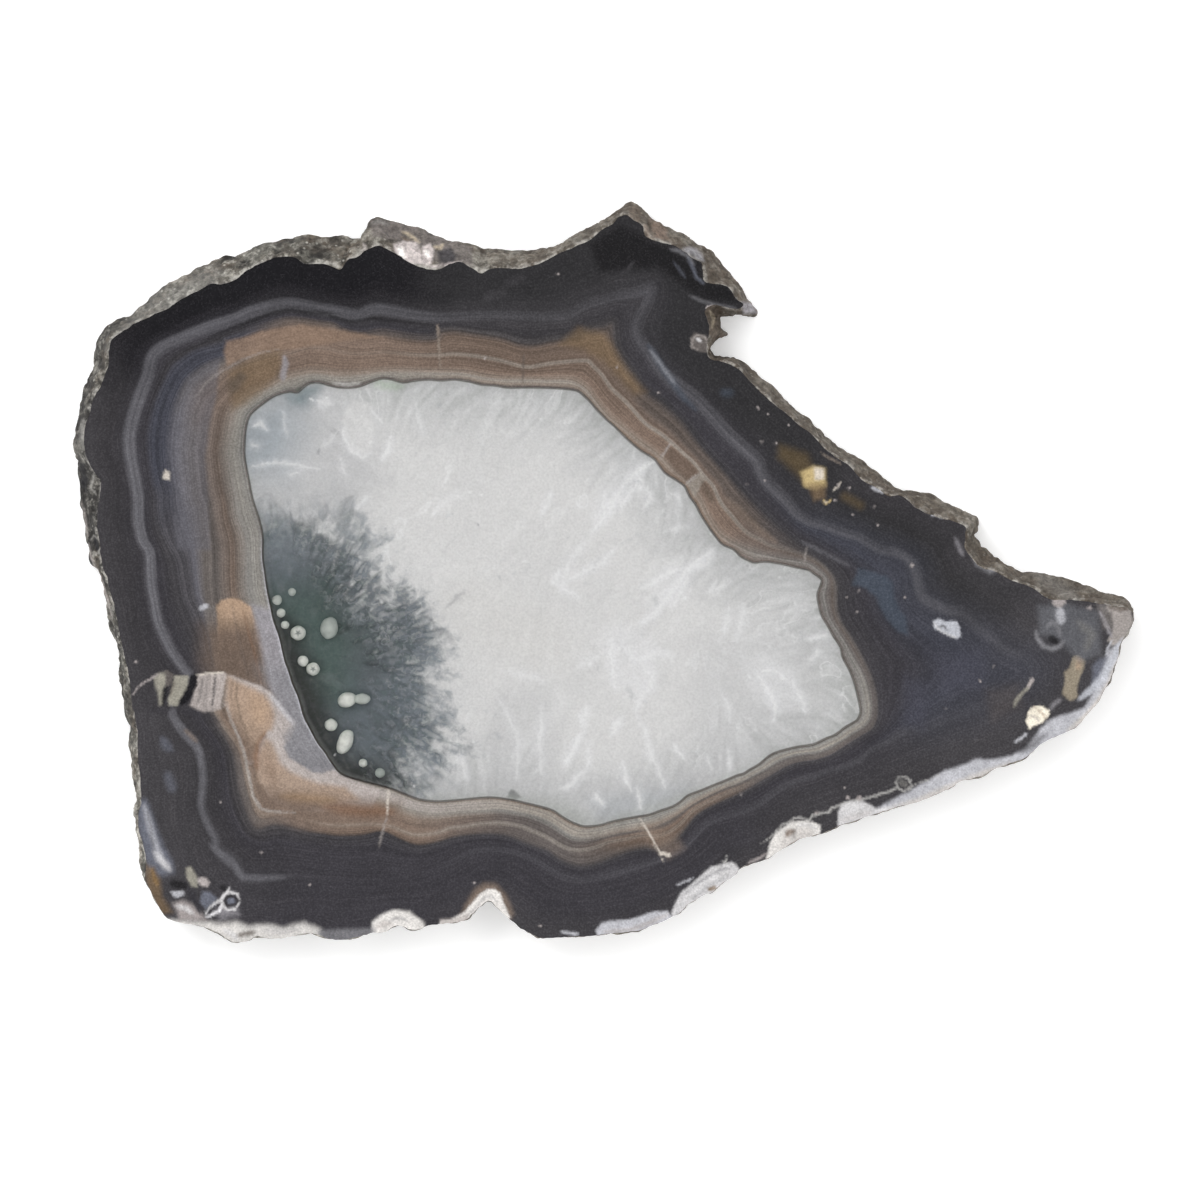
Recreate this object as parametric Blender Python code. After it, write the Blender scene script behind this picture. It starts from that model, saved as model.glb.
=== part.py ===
"""An agate slice: one flat slab sawn a little askew through a nodule, polished on its upper face.

The slab lies on its sawn back, with the polished face up. +X runs along its length and +Y across it.
Its outline is irregular, so it is read off a straight-on photograph as pixel positions, and the real
length of the slice sets their scale. The wall between the two faces is the nodule's own skin.
"""

import bmesh
import bpy
import numpy as np

MM = 0.001

# Driving dimensions of the slab.
SLICE_LENGTH = 148.0 * MM
SLICE_THICKNESS = 6.5 * MM

# How the wall is drawn: spline steps between two outline points, heights of its rings as shares of the
# thickness, how far its middle bulges, and the height of the lumps in the skin.
STEPS_PER_POINT = 2
RING_SHARES = (1.0, 0.8, 0.58, 0.36, 0.16, 0.0)
WALL_BULGE = 0.35 * MM
LUMP_HEIGHT = 0.22 * MM

# The part of the outline where the skin flares outwards below the polished face, clockwise from the
# lower left corner to the right tip. Each row is a pixel of the skin's widest line, then the pixel of
# the polished face's rim beside it: (skin x, skin y, rim x, rim y).
FLARED_EDGE_PIXELS = (
    (139, 800, 141, 800), (134, 776, 140, 778), (131, 754, 138, 756), (129, 726, 137, 728),
    (124, 708, 133, 708), (121, 690, 131, 690), (120, 673, 128, 672), (120, 652, 124, 652),
    (116, 636, 120, 636), (111, 618, 117, 618), (107, 600, 113, 601), (102, 582, 108, 581),
    (97, 570, 104, 570), (88, 559, 101, 558), (87, 545, 100, 546), (86, 535, 98, 533),
    (83, 516, 97, 517), (80, 498, 99, 500), (78, 480, 101, 482), (77, 466, 93, 470),
    (76, 450, 86, 455), (75, 436, 84, 440), (76, 420, 86, 425), (79, 408, 91, 408),
    (82, 396, 95, 396), (85, 384, 101, 386), (90, 372, 105, 375), (94, 360, 109, 362),
    (97, 347, 109, 350), (101, 335, 112, 340), (109, 325, 122, 332), (120, 318, 134, 324),
    (129, 316, 147, 318), (141, 304, 158, 313), (154, 292, 169, 308), (168, 284, 182, 299),
    (182, 276, 198, 291), (200, 266, 211, 284), (215, 259, 222, 284), (224, 254, 236, 279),
    (233, 256, 247, 270), (246, 250, 257, 265), (259, 244, 268, 260), (282, 239, 283, 256),
    (305, 234, 296, 258), (317, 235, 304, 264), (330, 236, 322, 264), (341, 235, 333, 267),
    (352, 238, 341, 269), (362, 239, 348, 260), (366, 233, 357, 257), (367, 222, 367, 250),
    (376, 216, 379, 246), (390, 219, 388, 250), (404, 223, 399, 256), (420, 227, 412, 264),
    (435, 234, 436, 270), (447, 240, 449, 264), (458, 241, 461, 262), (472, 245, 470, 267),
    (485, 247, 481, 273), (500, 249, 495, 268), (520, 250, 524, 268), (538, 249, 545, 261),
    (553, 246, 560, 253), (566, 241, 576, 246), (579, 233, 590, 240), (592, 227, 603, 229),
    (604, 219, 613, 224), (620, 210, 619, 217), (630, 201, 627, 215), (640, 207, 635, 221),
    (648, 214, 643, 226), (655, 219, 645, 236), (668, 227, 656, 241), (681, 235, 672, 245),
    (694, 242, 684, 251), (706, 247, 693, 258), (718, 258, 701, 263), (729, 270, 703, 271),
    (737, 280, 704, 281), (745, 291, 716, 284), (751, 302, 728, 287), (757, 311, 736, 299),
    (752, 315, 743, 305), (737, 314, 734, 309), (721, 314, 715, 305), (720, 320, 705, 311),
    (721, 328, 708, 321), (727, 334, 709, 329), (719, 338, 708, 339), (712, 345, 706, 349),
    (716, 356, 709, 358), (729, 357, 722, 362), (743, 360, 738, 369), (762, 378, 755, 387),
    (783, 396, 772, 402), (800, 412, 786, 414), (815, 425, 798, 424), (830, 439, 811, 434),
    (845, 449, 830, 453), (860, 459, 848, 465), (872, 469, 861, 479), (884, 478, 877, 488),
    (896, 488, 889, 496), (916, 491, 902, 496), (932, 495, 918, 509), (945, 502, 938, 517),
    (960, 510, 953, 521), (976, 518, 965, 527), (976, 526, 965, 536), (972, 533, 965, 548),
    (980, 546, 972, 559), (988, 552, 982, 568), (998, 560, 995, 571), (1016, 569, 1011, 580),
    (1040, 574, 1030, 587), (1064, 578, 1050, 599), (1080, 583, 1073, 600),
    (1100, 590, 1097, 603), (1118, 595, 1116, 607), (1127, 599, 1124, 607),
    (1131, 606, 1129, 610),
)

# The rest of the rim, clockwise from the right tip back to the lower left corner. Here the wall leans
# inwards below the face, so the rim is the widest line.
UNDERCUT_EDGE_PIXELS = (
    (1133, 614), (1132, 624), (1126, 634), (1120, 644), (1118, 655), (1114, 668), (1110, 679),
    (1104, 690), (1099, 700), (1093, 707), (1086, 716), (1080, 724), (1068, 731), (1052, 738),
    (1040, 745), (1032, 752), (1022, 759), (1010, 763), (996, 768), (980, 776), (962, 781),
    (950, 788), (935, 795), (918, 802), (900, 806), (885, 811), (860, 819), (840, 825),
    (826, 832), (812, 836), (798, 840), (784, 848), (770, 857), (756, 862), (742, 867),
    (735, 875), (722, 884), (712, 892), (700, 897), (688, 905), (680, 912), (672, 917),
    (662, 922), (650, 926), (641, 930), (625, 932), (605, 934), (590, 936), (570, 937),
    (552, 938), (538, 937), (528, 932), (518, 926), (508, 918), (500, 911), (494, 904),
    (490, 901), (486, 902), (479, 907), (472, 914), (466, 920), (458, 922), (445, 923),
    (430, 925), (422, 928), (415, 930), (409, 929), (403, 926), (397, 925), (392, 927),
    (387, 931), (380, 933), (374, 933), (363, 935), (352, 938), (341, 940), (330, 939),
    (318, 935), (308, 933), (293, 936), (283, 938), (270, 938), (257, 936), (249, 940),
    (240, 942), (232, 941), (222, 935), (210, 929), (200, 926), (188, 924), (175, 921),
    (165, 916), (158, 905), (152, 894), (148, 886), (145, 878), (146, 868), (145, 853),
    (142, 842), (139, 830), (138, 815),
)
# The undercut wall's foot lies this many pixels from its rim. It grows from nothing to that over
# this many points at either end.
UNDERCUT_SHIFT_PIXELS = (-4, -24)
UNDERCUT_RAMP_POINTS = 6

# Lumps of the skin: waves along the outline and up the wall, as turns per outline, turns per wall
# height, phase in radians and share of LUMP_HEIGHT.
SKIN_WAVES = (
    (37, 0.7, 0.4, 0.40),
    (61, 1.3, 2.1, 0.30),
    (97, 0.9, 4.4, 0.20),
    (149, 1.9, 1.3, 0.10),
)

STONE_COLOUR = (0.028, 0.026, 0.028, 1.0)
STONE_ROUGHNESS = 0.2


def clear_scene():
    """Removes whatever objects the file opened with."""
    for thing in list(bpy.data.objects):
        bpy.data.objects.remove(thing, do_unlink=True)


def foot_shifts(count):
    """Pixel shift of the wall's foot from the rim at each undercut point."""
    place = np.arange(count)
    from_end = np.minimum(place + 1, count - place)
    share = np.clip(from_end / UNDERCUT_RAMP_POINTS, 0.0, 1.0)
    return share[:, None] * np.array(UNDERCUT_SHIFT_PIXELS, float)


def outline_points():
    """Pixel positions of the polished face's rim and of the wall's foot, point for point."""
    flared = np.array(FLARED_EDGE_PIXELS, float)
    undercut = np.array(UNDERCUT_EDGE_PIXELS, float)
    rim = np.vstack([flared[:, 2:], undercut])
    foot = np.vstack([flared[:, :2], undercut + foot_shifts(len(undercut))])
    return rim, foot


def closed_spline(points):
    """A closed Catmull-Rom curve through the points, STEPS_PER_POINT samples to each."""
    before = np.roll(points, 1, axis=0)
    after = np.roll(points, -1, axis=0)
    second = np.roll(points, -2, axis=0)
    samples = []
    for step in range(STEPS_PER_POINT):
        t = step / STEPS_PER_POINT
        samples.append(
            0.5
            * (
                2 * points
                + (after - before) * t
                + (2 * before - 5 * points + 4 * after - second) * t**2
                + (3 * points - before - 3 * after + second) * t**3
            )
        )
    return np.stack(samples, axis=1).reshape(-1, 2)


def real_outlines():
    """Rim and foot in metres, with the slice centred on the origin and the photo's up as +Y."""
    rim, foot = (closed_spline(line) for line in outline_points())
    both = np.vstack([rim, foot])
    low, high = both.min(axis=0), both.max(axis=0)
    scale = SLICE_LENGTH / (high[0] - low[0])
    centre = (low + high) / 2
    flip = np.array([scale, -scale])
    return (rim - centre) * flip, (foot - centre) * flip


def outward_normals(line):
    """Unit normals of a clockwise outline, pointing away from the stone."""
    along = np.roll(line, -1, axis=0) - np.roll(line, 1, axis=0)
    normals = np.stack([-along[:, 1], along[:, 0]], axis=1)
    return normals / np.linalg.norm(normals, axis=1, keepdims=True)


def skin_lumps(count, share):
    """Height of the skin's lumps at each outline sample, this share of the way up the wall."""
    turn = 2 * np.pi * np.arange(count) / count
    height = np.zeros(count)
    for around, upward, phase, weight in SKIN_WAVES:
        height += weight * np.sin(around * turn + 2 * np.pi * upward * share + phase)
    return LUMP_HEIGHT * height


def wall_ring(rim, foot, share):
    """One ring of the wall: between rim and foot, bulged in the middle and lumpy like a nodule."""
    line = share * rim + (1 - share) * foot
    swell = 4 * share * (1 - share)
    proud = swell * (WALL_BULGE + skin_lumps(len(rim), share))
    flat = line + proud[:, None] * outward_normals(line)
    return [(x, y, share * SLICE_THICKNESS) for x, y in flat]


def stone_mesh(name):
    """The slab as a loft from the rim of the polished face down to the rim of the sawn back."""
    rim, foot = real_outlines()
    model = bmesh.new()
    rings = []
    for share in RING_SHARES:
        rings.append([model.verts.new(point) for point in wall_ring(rim, foot, share)])
    for upper, lower in zip(rings, rings[1:]):
        for here, there in zip(range(-1, len(upper) - 1), range(len(upper))):
            model.faces.new((upper[here], upper[there], lower[there], lower[here]))
    model.faces.new(rings[0])
    model.faces.new(rings[-1][::-1])
    bmesh.ops.recalc_face_normals(model, faces=model.faces)
    mesh = bpy.data.meshes.new(name)
    model.to_mesh(mesh)
    model.free()
    return mesh


def stone_material():
    """Dark chalcedony with a polished face."""
    material = bpy.data.materials.new("polished_agate")
    material.use_nodes = True
    shader = material.node_tree.nodes["Principled BSDF"]
    shader.inputs["Base Color"].default_value = STONE_COLOUR
    shader.inputs["Roughness"].default_value = STONE_ROUGHNESS
    shader.inputs["Metallic"].default_value = 0.0
    return material


def build():
    clear_scene()
    collection = bpy.data.collections.new("agate_slice_parts")
    bpy.context.scene.collection.children.link(collection)
    mesh = stone_mesh("agate_slice")
    mesh.materials.append(stone_material())
    collection.objects.link(bpy.data.objects.new("agate_slice", mesh))


build()
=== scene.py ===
import bpy
import numpy as np
from mathutils.geometry import delaunay_2d_cdt
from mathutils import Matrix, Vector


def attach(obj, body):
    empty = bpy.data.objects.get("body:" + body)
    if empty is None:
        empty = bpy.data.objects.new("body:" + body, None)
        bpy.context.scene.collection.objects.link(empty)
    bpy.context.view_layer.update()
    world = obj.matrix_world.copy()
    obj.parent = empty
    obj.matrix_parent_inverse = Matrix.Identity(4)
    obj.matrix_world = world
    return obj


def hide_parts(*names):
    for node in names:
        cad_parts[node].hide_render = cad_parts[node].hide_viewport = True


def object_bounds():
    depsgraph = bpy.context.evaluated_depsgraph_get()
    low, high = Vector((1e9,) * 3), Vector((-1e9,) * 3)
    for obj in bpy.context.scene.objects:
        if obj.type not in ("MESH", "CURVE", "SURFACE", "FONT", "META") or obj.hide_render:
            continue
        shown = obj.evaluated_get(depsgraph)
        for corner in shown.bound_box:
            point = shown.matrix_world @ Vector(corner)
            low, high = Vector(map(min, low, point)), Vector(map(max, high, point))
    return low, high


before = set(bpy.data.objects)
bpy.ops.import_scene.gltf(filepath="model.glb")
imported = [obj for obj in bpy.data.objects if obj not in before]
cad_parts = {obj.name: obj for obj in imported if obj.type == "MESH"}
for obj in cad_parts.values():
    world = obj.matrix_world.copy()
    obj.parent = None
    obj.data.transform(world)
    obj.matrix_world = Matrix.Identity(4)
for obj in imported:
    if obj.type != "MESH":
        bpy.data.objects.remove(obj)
cad_low, cad_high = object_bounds()

# The polished face is chalcedony, laid down in bands from the rind inwards: near black, a violet-grey
# line, indigo and brown, then pale grey-green up to the quartz. It is one flat plane, sawn and polished.
MM = 0.001
PIXEL = 0.13987 * MM
SLICE_CENTRE_PIXEL = (604.0625, 571.5)
THICKNESS = cad_high[2]
FACE_SPACING = 0.29 * MM
RIM_STEPS = 10
RIM_FRAY = 0.07 * MM


def pixels(text):
    """Points on the photo, written as numbers joined by commas, with a space between points."""
    return [tuple(map(float, point.split(","))) for point in text.split()]


# Each is a pixel of the skin's widest line, then the pixel of the polished face's rim beside it.
FLARED_EDGE_PIXELS = pixels("""
    139,800,141,800 134,776,140,778 131,754,138,756 129,726,137,728 124,708,133,708 121,690,131,690
    120,673,128,672 120,652,124,652 116,636,120,636 111,618,117,618 107,600,113,601 102,582,108,581
    97,570,104,570 88,559,101,558 87,545,100,546 86,535,98,533 83,516,97,517 80,498,99,500 78,480,101,482
    77,466,93,470 76,450,86,455 75,436,84,440 76,420,86,425 79,408,91,408 82,396,95,396 85,384,101,386
    90,372,105,375 94,360,109,362 97,347,109,350 101,335,112,340 109,325,122,332 120,318,134,324
    129,316,147,318 141,304,158,313 154,292,169,308 168,284,182,299 182,276,198,291 200,266,211,284
    215,259,222,284 224,254,236,279 233,256,247,270 246,250,257,265 259,244,268,260 282,239,283,256
    305,234,296,258 317,235,304,264 330,236,322,264 341,235,333,267 352,238,341,269 362,239,348,260
    366,233,357,257 367,222,367,250 376,216,379,246 390,219,388,250 404,223,399,256 420,227,412,264
    435,234,436,270 447,240,449,264 458,241,461,262 472,245,470,267 485,247,481,273 500,249,495,268
    520,250,524,268 538,249,545,261 553,246,560,253 566,241,576,246 579,233,590,240 592,227,603,229
    604,219,613,224 620,210,619,217 630,201,627,215 640,207,635,221 648,214,643,226 655,219,645,236
    668,227,656,241 681,235,672,245 694,242,684,251 706,247,693,258 718,258,701,263 729,270,703,271
    737,280,704,281 745,291,716,284 751,302,728,287 757,311,736,299 752,315,743,305 737,314,734,309
    721,314,715,305 720,320,705,311 721,328,708,321 727,334,709,329 719,338,708,339 712,345,706,349
    716,356,709,358 729,357,722,362 743,360,738,369 762,378,755,387 783,396,772,402 800,412,786,414
    815,425,798,424 830,439,811,434 845,449,830,453 860,459,848,465 872,469,861,479 884,478,877,488
    896,488,889,496 916,491,902,496 932,495,918,509 945,502,938,517 960,510,953,521 976,518,965,527
    976,526,965,536 972,533,965,548 980,546,972,559 988,552,982,568 998,560,995,571 1016,569,1011,580
    1040,574,1030,587 1064,578,1050,599 1080,583,1073,600 1100,590,1097,603 1118,595,1116,607
    1127,599,1124,607 1131,606,1129,610
""")
# The rest of the rim, where the wall leans inwards below the face by the shift given here.
UNDERCUT_EDGE_PIXELS = pixels("""
    1133,614 1132,624 1126,634 1120,644 1118,655 1114,668 1110,679 1104,690 1099,700 1093,707 1086,716
    1080,724 1068,731 1052,738 1040,745 1032,752 1022,759 1010,763 996,768 980,776 962,781 950,788 935,795
    918,802 900,806 885,811 860,819 840,825 826,832 812,836 798,840 784,848 770,857 756,862 742,867 735,875
    722,884 712,892 700,897 688,905 680,912 672,917 662,922 650,926 641,930 625,932 605,934 590,936 570,937
    552,938 538,937 528,932 518,926 508,918 500,911 494,904 490,901 486,902 479,907 472,914 466,920 458,922
    445,923 430,925 422,928 415,930 409,929 403,926 397,925 392,927 387,931 380,933 374,933 363,935 352,938
    341,940 330,939 318,935 308,933 293,936 283,938 270,938 257,936 249,940 240,942 232,941 222,935 210,929
    200,926 188,924 175,921 165,916 158,905 152,894 148,886 145,878 146,868 145,853 142,842 139,830 138,815
""")
UNDERCUT_SHIFT_PIXELS = (-4, -24)
UNDERCUT_RAMP_POINTS = 6

# The closed lines where one band gives way to the next, from the rind inwards to the quartz.
BAND_LINES = {
    "violet-grey line": pixels("""
        300,876 270,876 241,875 237,866 231,858 221,852 216,846 215,838 210,829 205,818 201,805 202,794
        203,780 202,766 199,752 193,743 183,733 176,722 172,712 180,695 188,675 186,672 180,664 172,652
        164,637 157,620 154,602 151,587 150,570 149,552 142,540 138,520 138,500 135,480 131,460 129,440
        131,425 135,410 142,390 148,375 151,360 156,352 165,346 185,337 210,327 235,319 250,312 272,306
        287,304 300,305 320,309 340,312 357,315 370,310 380,309 395,311 415,315 440,317 460,316 490,315
        520,316 547,317 569,315 582,307 600,301 617,296 635,293 650,287 650,296 645,307 639,318 636,330
        642,344 649,352 657,366 667,377 679,387 690,395 701,405 713,418 727,434 737,443 748,453 756,460
        761,472 766,481 778,493 788,503 797,514 809,522 822,525 836,530 848,534 859,537 867,542 879,549
        893,552 904,556 911,562 917,573 918,585 921,595 929,602 939,607 949,611 962,611 974,618 984,626
        994,637 1003,650 1015,655 1029,661 1034,672 1026,684 1010,694 985,704 955,716 921,728 900,734 887,742
        872,749 859,760 843,767 826,771 813,776 799,779 785,785 773,793 759,803 742,811 721,817 706,824
        690,841 674,853 655,861 640,866 620,872 600,877 580,880 565,877 550,869 535,860 520,853 505,850
        490,849 470,852 452,862 425,874 385,880 340,879
    """),
    "indigo edge": pixels("""
        296,829 282,826 269,827 262,830 254,829 247,818 241,801 237,787 234,767 231,750 221,733 210,716
        209,700 212,685 211,668 205,649 203,635 197,621 193,610 187,600 183,579 179,560 171,546 166,536
        162,522 160,508 160,494 156,480 153,459 152,438 155,417 160,400 169,380 179,366 197,353 224,346
        227,341 241,336 250,332 262,328 276,323 290,320 305,321 319,323 333,325 341,331 354,335 368,336
        382,334 396,336 417,339 436,338 440,331 455,329 476,332 490,334 505,337 519,342 536,343 554,339
        575,337 586,331 595,327 605,325 613,322 615,337 618,352 628,366 638,380 646,391 659,398 673,410
        685,422 697,439 708,452 721,466 738,485 758,506 778,525 796,540 812,552 826,563 838,575 842,588
        841,604 845,620 854,634 862,648 870,664 877,682 880,700 880,716 875,729 864,736 849,746 834,755
        818,761 804,763 791,767 777,775 765,782 754,788 743,793 732,798 718,804 704,811 695,818 689,826
        682,835 672,844 660,850 646,850 632,852 618,857 603,863 589,867 575,867 560,861 548,852 536,848
        522,843 503,836 479,835 454,838 438,843 417,846 398,839 382,832 363,836 339,837 324,835 310,833
    """),
    "pale thread": pixels("""
        289,814 275,812 264,815 257,809 253,798 250,787 247,773 244,759 240,747 231,735 221,721 215,709
        217,697 222,685 220,670 216,650 212,630 208,605 205,580 204,550 202,528 200,508 196,499 194,487
        192,466 191,449 193,438 194,425 195,414 199,403 204,394 211,389 220,380 228,373 241,366 259,359
        276,355 290,353 307,348 319,348 330,349 340,352 361,354 382,352 396,353 417,355 440,355 454,354
        476,356 498,360 510,363 521,366 530,367 541,365 554,363 575,361 588,361 593,366 602,375 611,388
        625,401 635,412 646,424 661,434 672,443 685,455 694,463 704,476 713,486 718,497 724,507 731,515
        741,527 749,534 759,539 769,545 785,549 800,554 815,560 826,569 833,580 835,592 835,606 838,619
        847,634 855,647 863,662 870,678 875,696 875,714 871,726 861,733 846,741 832,751 817,757 802,759
        789,762 776,768 764,775 753,781 742,787 730,792 716,798 702,805 691,812 681,823 669,832 655,836
        643,835 625,839 608,842 596,847 582,850 570,849 560,845 550,839 540,834 530,830 520,826 500,823
        480,824 460,827 450,828 440,832 430,834 420,835 410,834 400,830 390,826 371,824 349,825 331,825
        317,822 300,817
    """),
    "brown edge": pixels("""
        325,786 310,768 297,748 286,730 276,712 270,694 267,677 266,663 263,649 259,635 257,621 252,604
        247,593 246,579 246,558 245,539 241,526 237,515 234,494 231,480 229,466 227,452 229,438 232,424
        235,410 243,400 253,393 265,388 274,384 280,380 290,376 299,374 312,372 326,373 340,374 361,373
        382,371 403,370 424,371 462,372 483,376 499,378 513,378 526,378 547,379 568,379 579,383 588,390
        596,401 608,416 621,426 641,442 656,453 673,469 685,479 699,497 707,514 717,531 727,539 741,546
        749,549 769,555 783,558 804,561 813,565 825,575 828,582 826,595 828,606 832,620 841,634 849,647
        856,659 863,671 868,684 871,698 871,714 867,723 859,729 850,735 841,741 828,748 817,752 800,754
        788,757 776,762 765,769 753,775 742,781 728,786 714,792 700,799 688,806 678,813 667,819 656,824
        644,828 632,830 619,832 603,836 588,839 575,839 566,835 556,828 546,822 534,817 520,814 500,811
        480,812 460,813 438,815 419,813 403,809 389,804 371,799 350,795 337,792
    """),
    "quartz edge": pixels("""
        290,391 281,393 273,396 263,403 253,411 248,418 245,430 244,445 244,456 246,469 249,484 252,499
        259,521 262,536 262,558 264,572 266,587 270,607 273,621 279,638 284,660 288,671 292,684 298,698
        303,716 309,728 317,743 324,752 331,763 339,773 349,778 371,784 390,789 403,794 419,800 438,802
        454,801 475,799 491,798 508,800 527,804 550,810 560,816 568,821 577,825 585,827 599,826 613,822
        627,819 639,817 650,815 661,811 673,807 681,802 688,796 701,791 713,786 723,782 737,776 744,774
        750,770 759,765 770,756 779,752 790,749 799,747 813,745 826,739 836,735 845,728 852,724 858,720
        861,712 860,704 858,695 855,683 850,670 843,657 841,647 834,636 828,625 822,615 819,603 818,594
        821,586 822,579 814,573 808,569 797,567 780,563 765,561 755,562 749,560 741,556 734,549 723,544
        716,536 708,525 701,514 696,504 690,496 685,486 677,480 666,473 661,467 654,458 641,450 627,438
        615,426 608,420 600,412 596,408 592,403 586,397 577,390 560,388 540,387 520,387 507,387 495,385
        481,384 469,381 455,379 441,380 429,379 415,380 403,382 392,379 382,378 372,381 362,385 353,387
        340,387 330,385 319,382 309,383 302,388 297,392
    """),
}

TONES = dict(
    jet="#18171b", soot="#2f2e30", charcoal="#383639", plum="#3b393e", peat="#403e41", ink="#40414a",
    graphite="#444245", shadow="#494647", pewter="#4e4c50", bark="#5b5148", umber="#5d544f", clay="#5e5856",
    cocoa="#6a5b51", drab="#66605d", chestnut="#79685d", dusk="#706b69", tan="#847468", stone="#7c7a77",
    fawn="#8c8076", moss="#86837d", sage="#8a8884", buff="#968f87", pale="#a49d99", chalk="#bfbdba",
    white="#dbd9da", bright="#f1eff2", cream="#d8cfc4", ivory="#b9b0ae", violet="#68676c", mauve="#626168",
    indigo="#484853", steel="#48505c", frost="#c9cbd3", ochre="#8a6d45", gold="#cfb885", olive="#6b5a3e",
    russet="#7d5f4b", honey="#9c7e5c", lilac="#98959a", black="#1a191b", green="#7d8277", fern="#4d564e",
    ash="#838286", mist="#c5c5cb", slate="#70737f", peach="#a68f7c", apricot="#b0967f", blush="#b5aca8",
    sand="#a29e92", bronze="#77634c", hazel="#8a7464", shell="#fff6e4", snow="#ebe7e3", straw="#9c917f",
    smoke="#68696e",
)
# Places along the bands, from 0 at the rim over the five lines to 5 at the quartz. Then a row for each part
# of the slice: its middle pixel, the strength and half width in pixels of the violet-grey line, the strength
# of the pale thread, and the tones at those places.
BAND_PLACES = (0.1, 0.5, 1.3, 1.7, 2.0, 2.3, 2.6, 3.0, 3.3, 3.7, 4.05, 4.3, 4.7, 4.92)
BAND_TONES = """
140,440 0.95 6.5 0 peat charcoal plum plum ink ink mauve dusk clay umber stone moss stone stone
150,585 0.85 5.5 0 peat charcoal plum peat pewter pewter mauve drab drab cocoa stone sage moss stone
185,350 0.7 6 0.1 jet jet plum charcoal ink ink drab chestnut cocoa chestnut fawn buff moss stone
335,310 0.45 6 0.1 jet jet charcoal plum umber chestnut chestnut chestnut chestnut chestnut fawn buff moss clay
520,320 0.2 4.5 0.5 soot soot peat charcoal shadow cocoa cocoa cocoa cocoa chestnut fawn buff fawn drab
710,440 0.5 7 0.75 soot soot plum plum peat umber umber chestnut chestnut chestnut fawn fawn tan chestnut
890,570 0.36 4.4 0.1 charcoal soot ink plum peat peat shadow clay umber drab dusk stone dusk drab
970,665 0.1 5 0 graphite graphite ink plum plum peat peat shadow pewter clay clay sage stone drab
800,770 0.35 3.2 0 peat peat plum plum graphite pewter clay drab drab dusk sage buff sage stone
690,840 0.22 3.2 0.3 peat plum plum plum graphite umber cocoa cocoa chestnut drab fawn buff sage moss
560,865 0.15 4 0.5 peat plum plum plum graphite clay clay clay clay clay stone buff buff fawn
360,860 0 3.5 0.3 plum plum plum plum peat cocoa chestnut tan chestnut tan buff pale pale buff
200,770 0.8 3.8 0.3 graphite graphite charcoal plum shadow clay drab tan chestnut pale pale pale pale pale
"""


def listed(text):
    """Rows of a list, each a name and the words up to the next name. What follows a # is a remark."""
    rows = []
    for line in text.splitlines():
        for word in line.partition("#")[0].split():
            if word.isalpha():
                rows.append([])
            rows[-1].append(word)
    return rows


def marks(text):
    """Marks, listed as tone, strength, softness of the edge, half width of a line or 0 for a closed patch,
    and then points, all in pixels."""
    return [(tone, float(strength), float(soft), float(width), pixels(" ".join(points)))
            for tone, strength, soft, width, *points in listed(text)]


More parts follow.
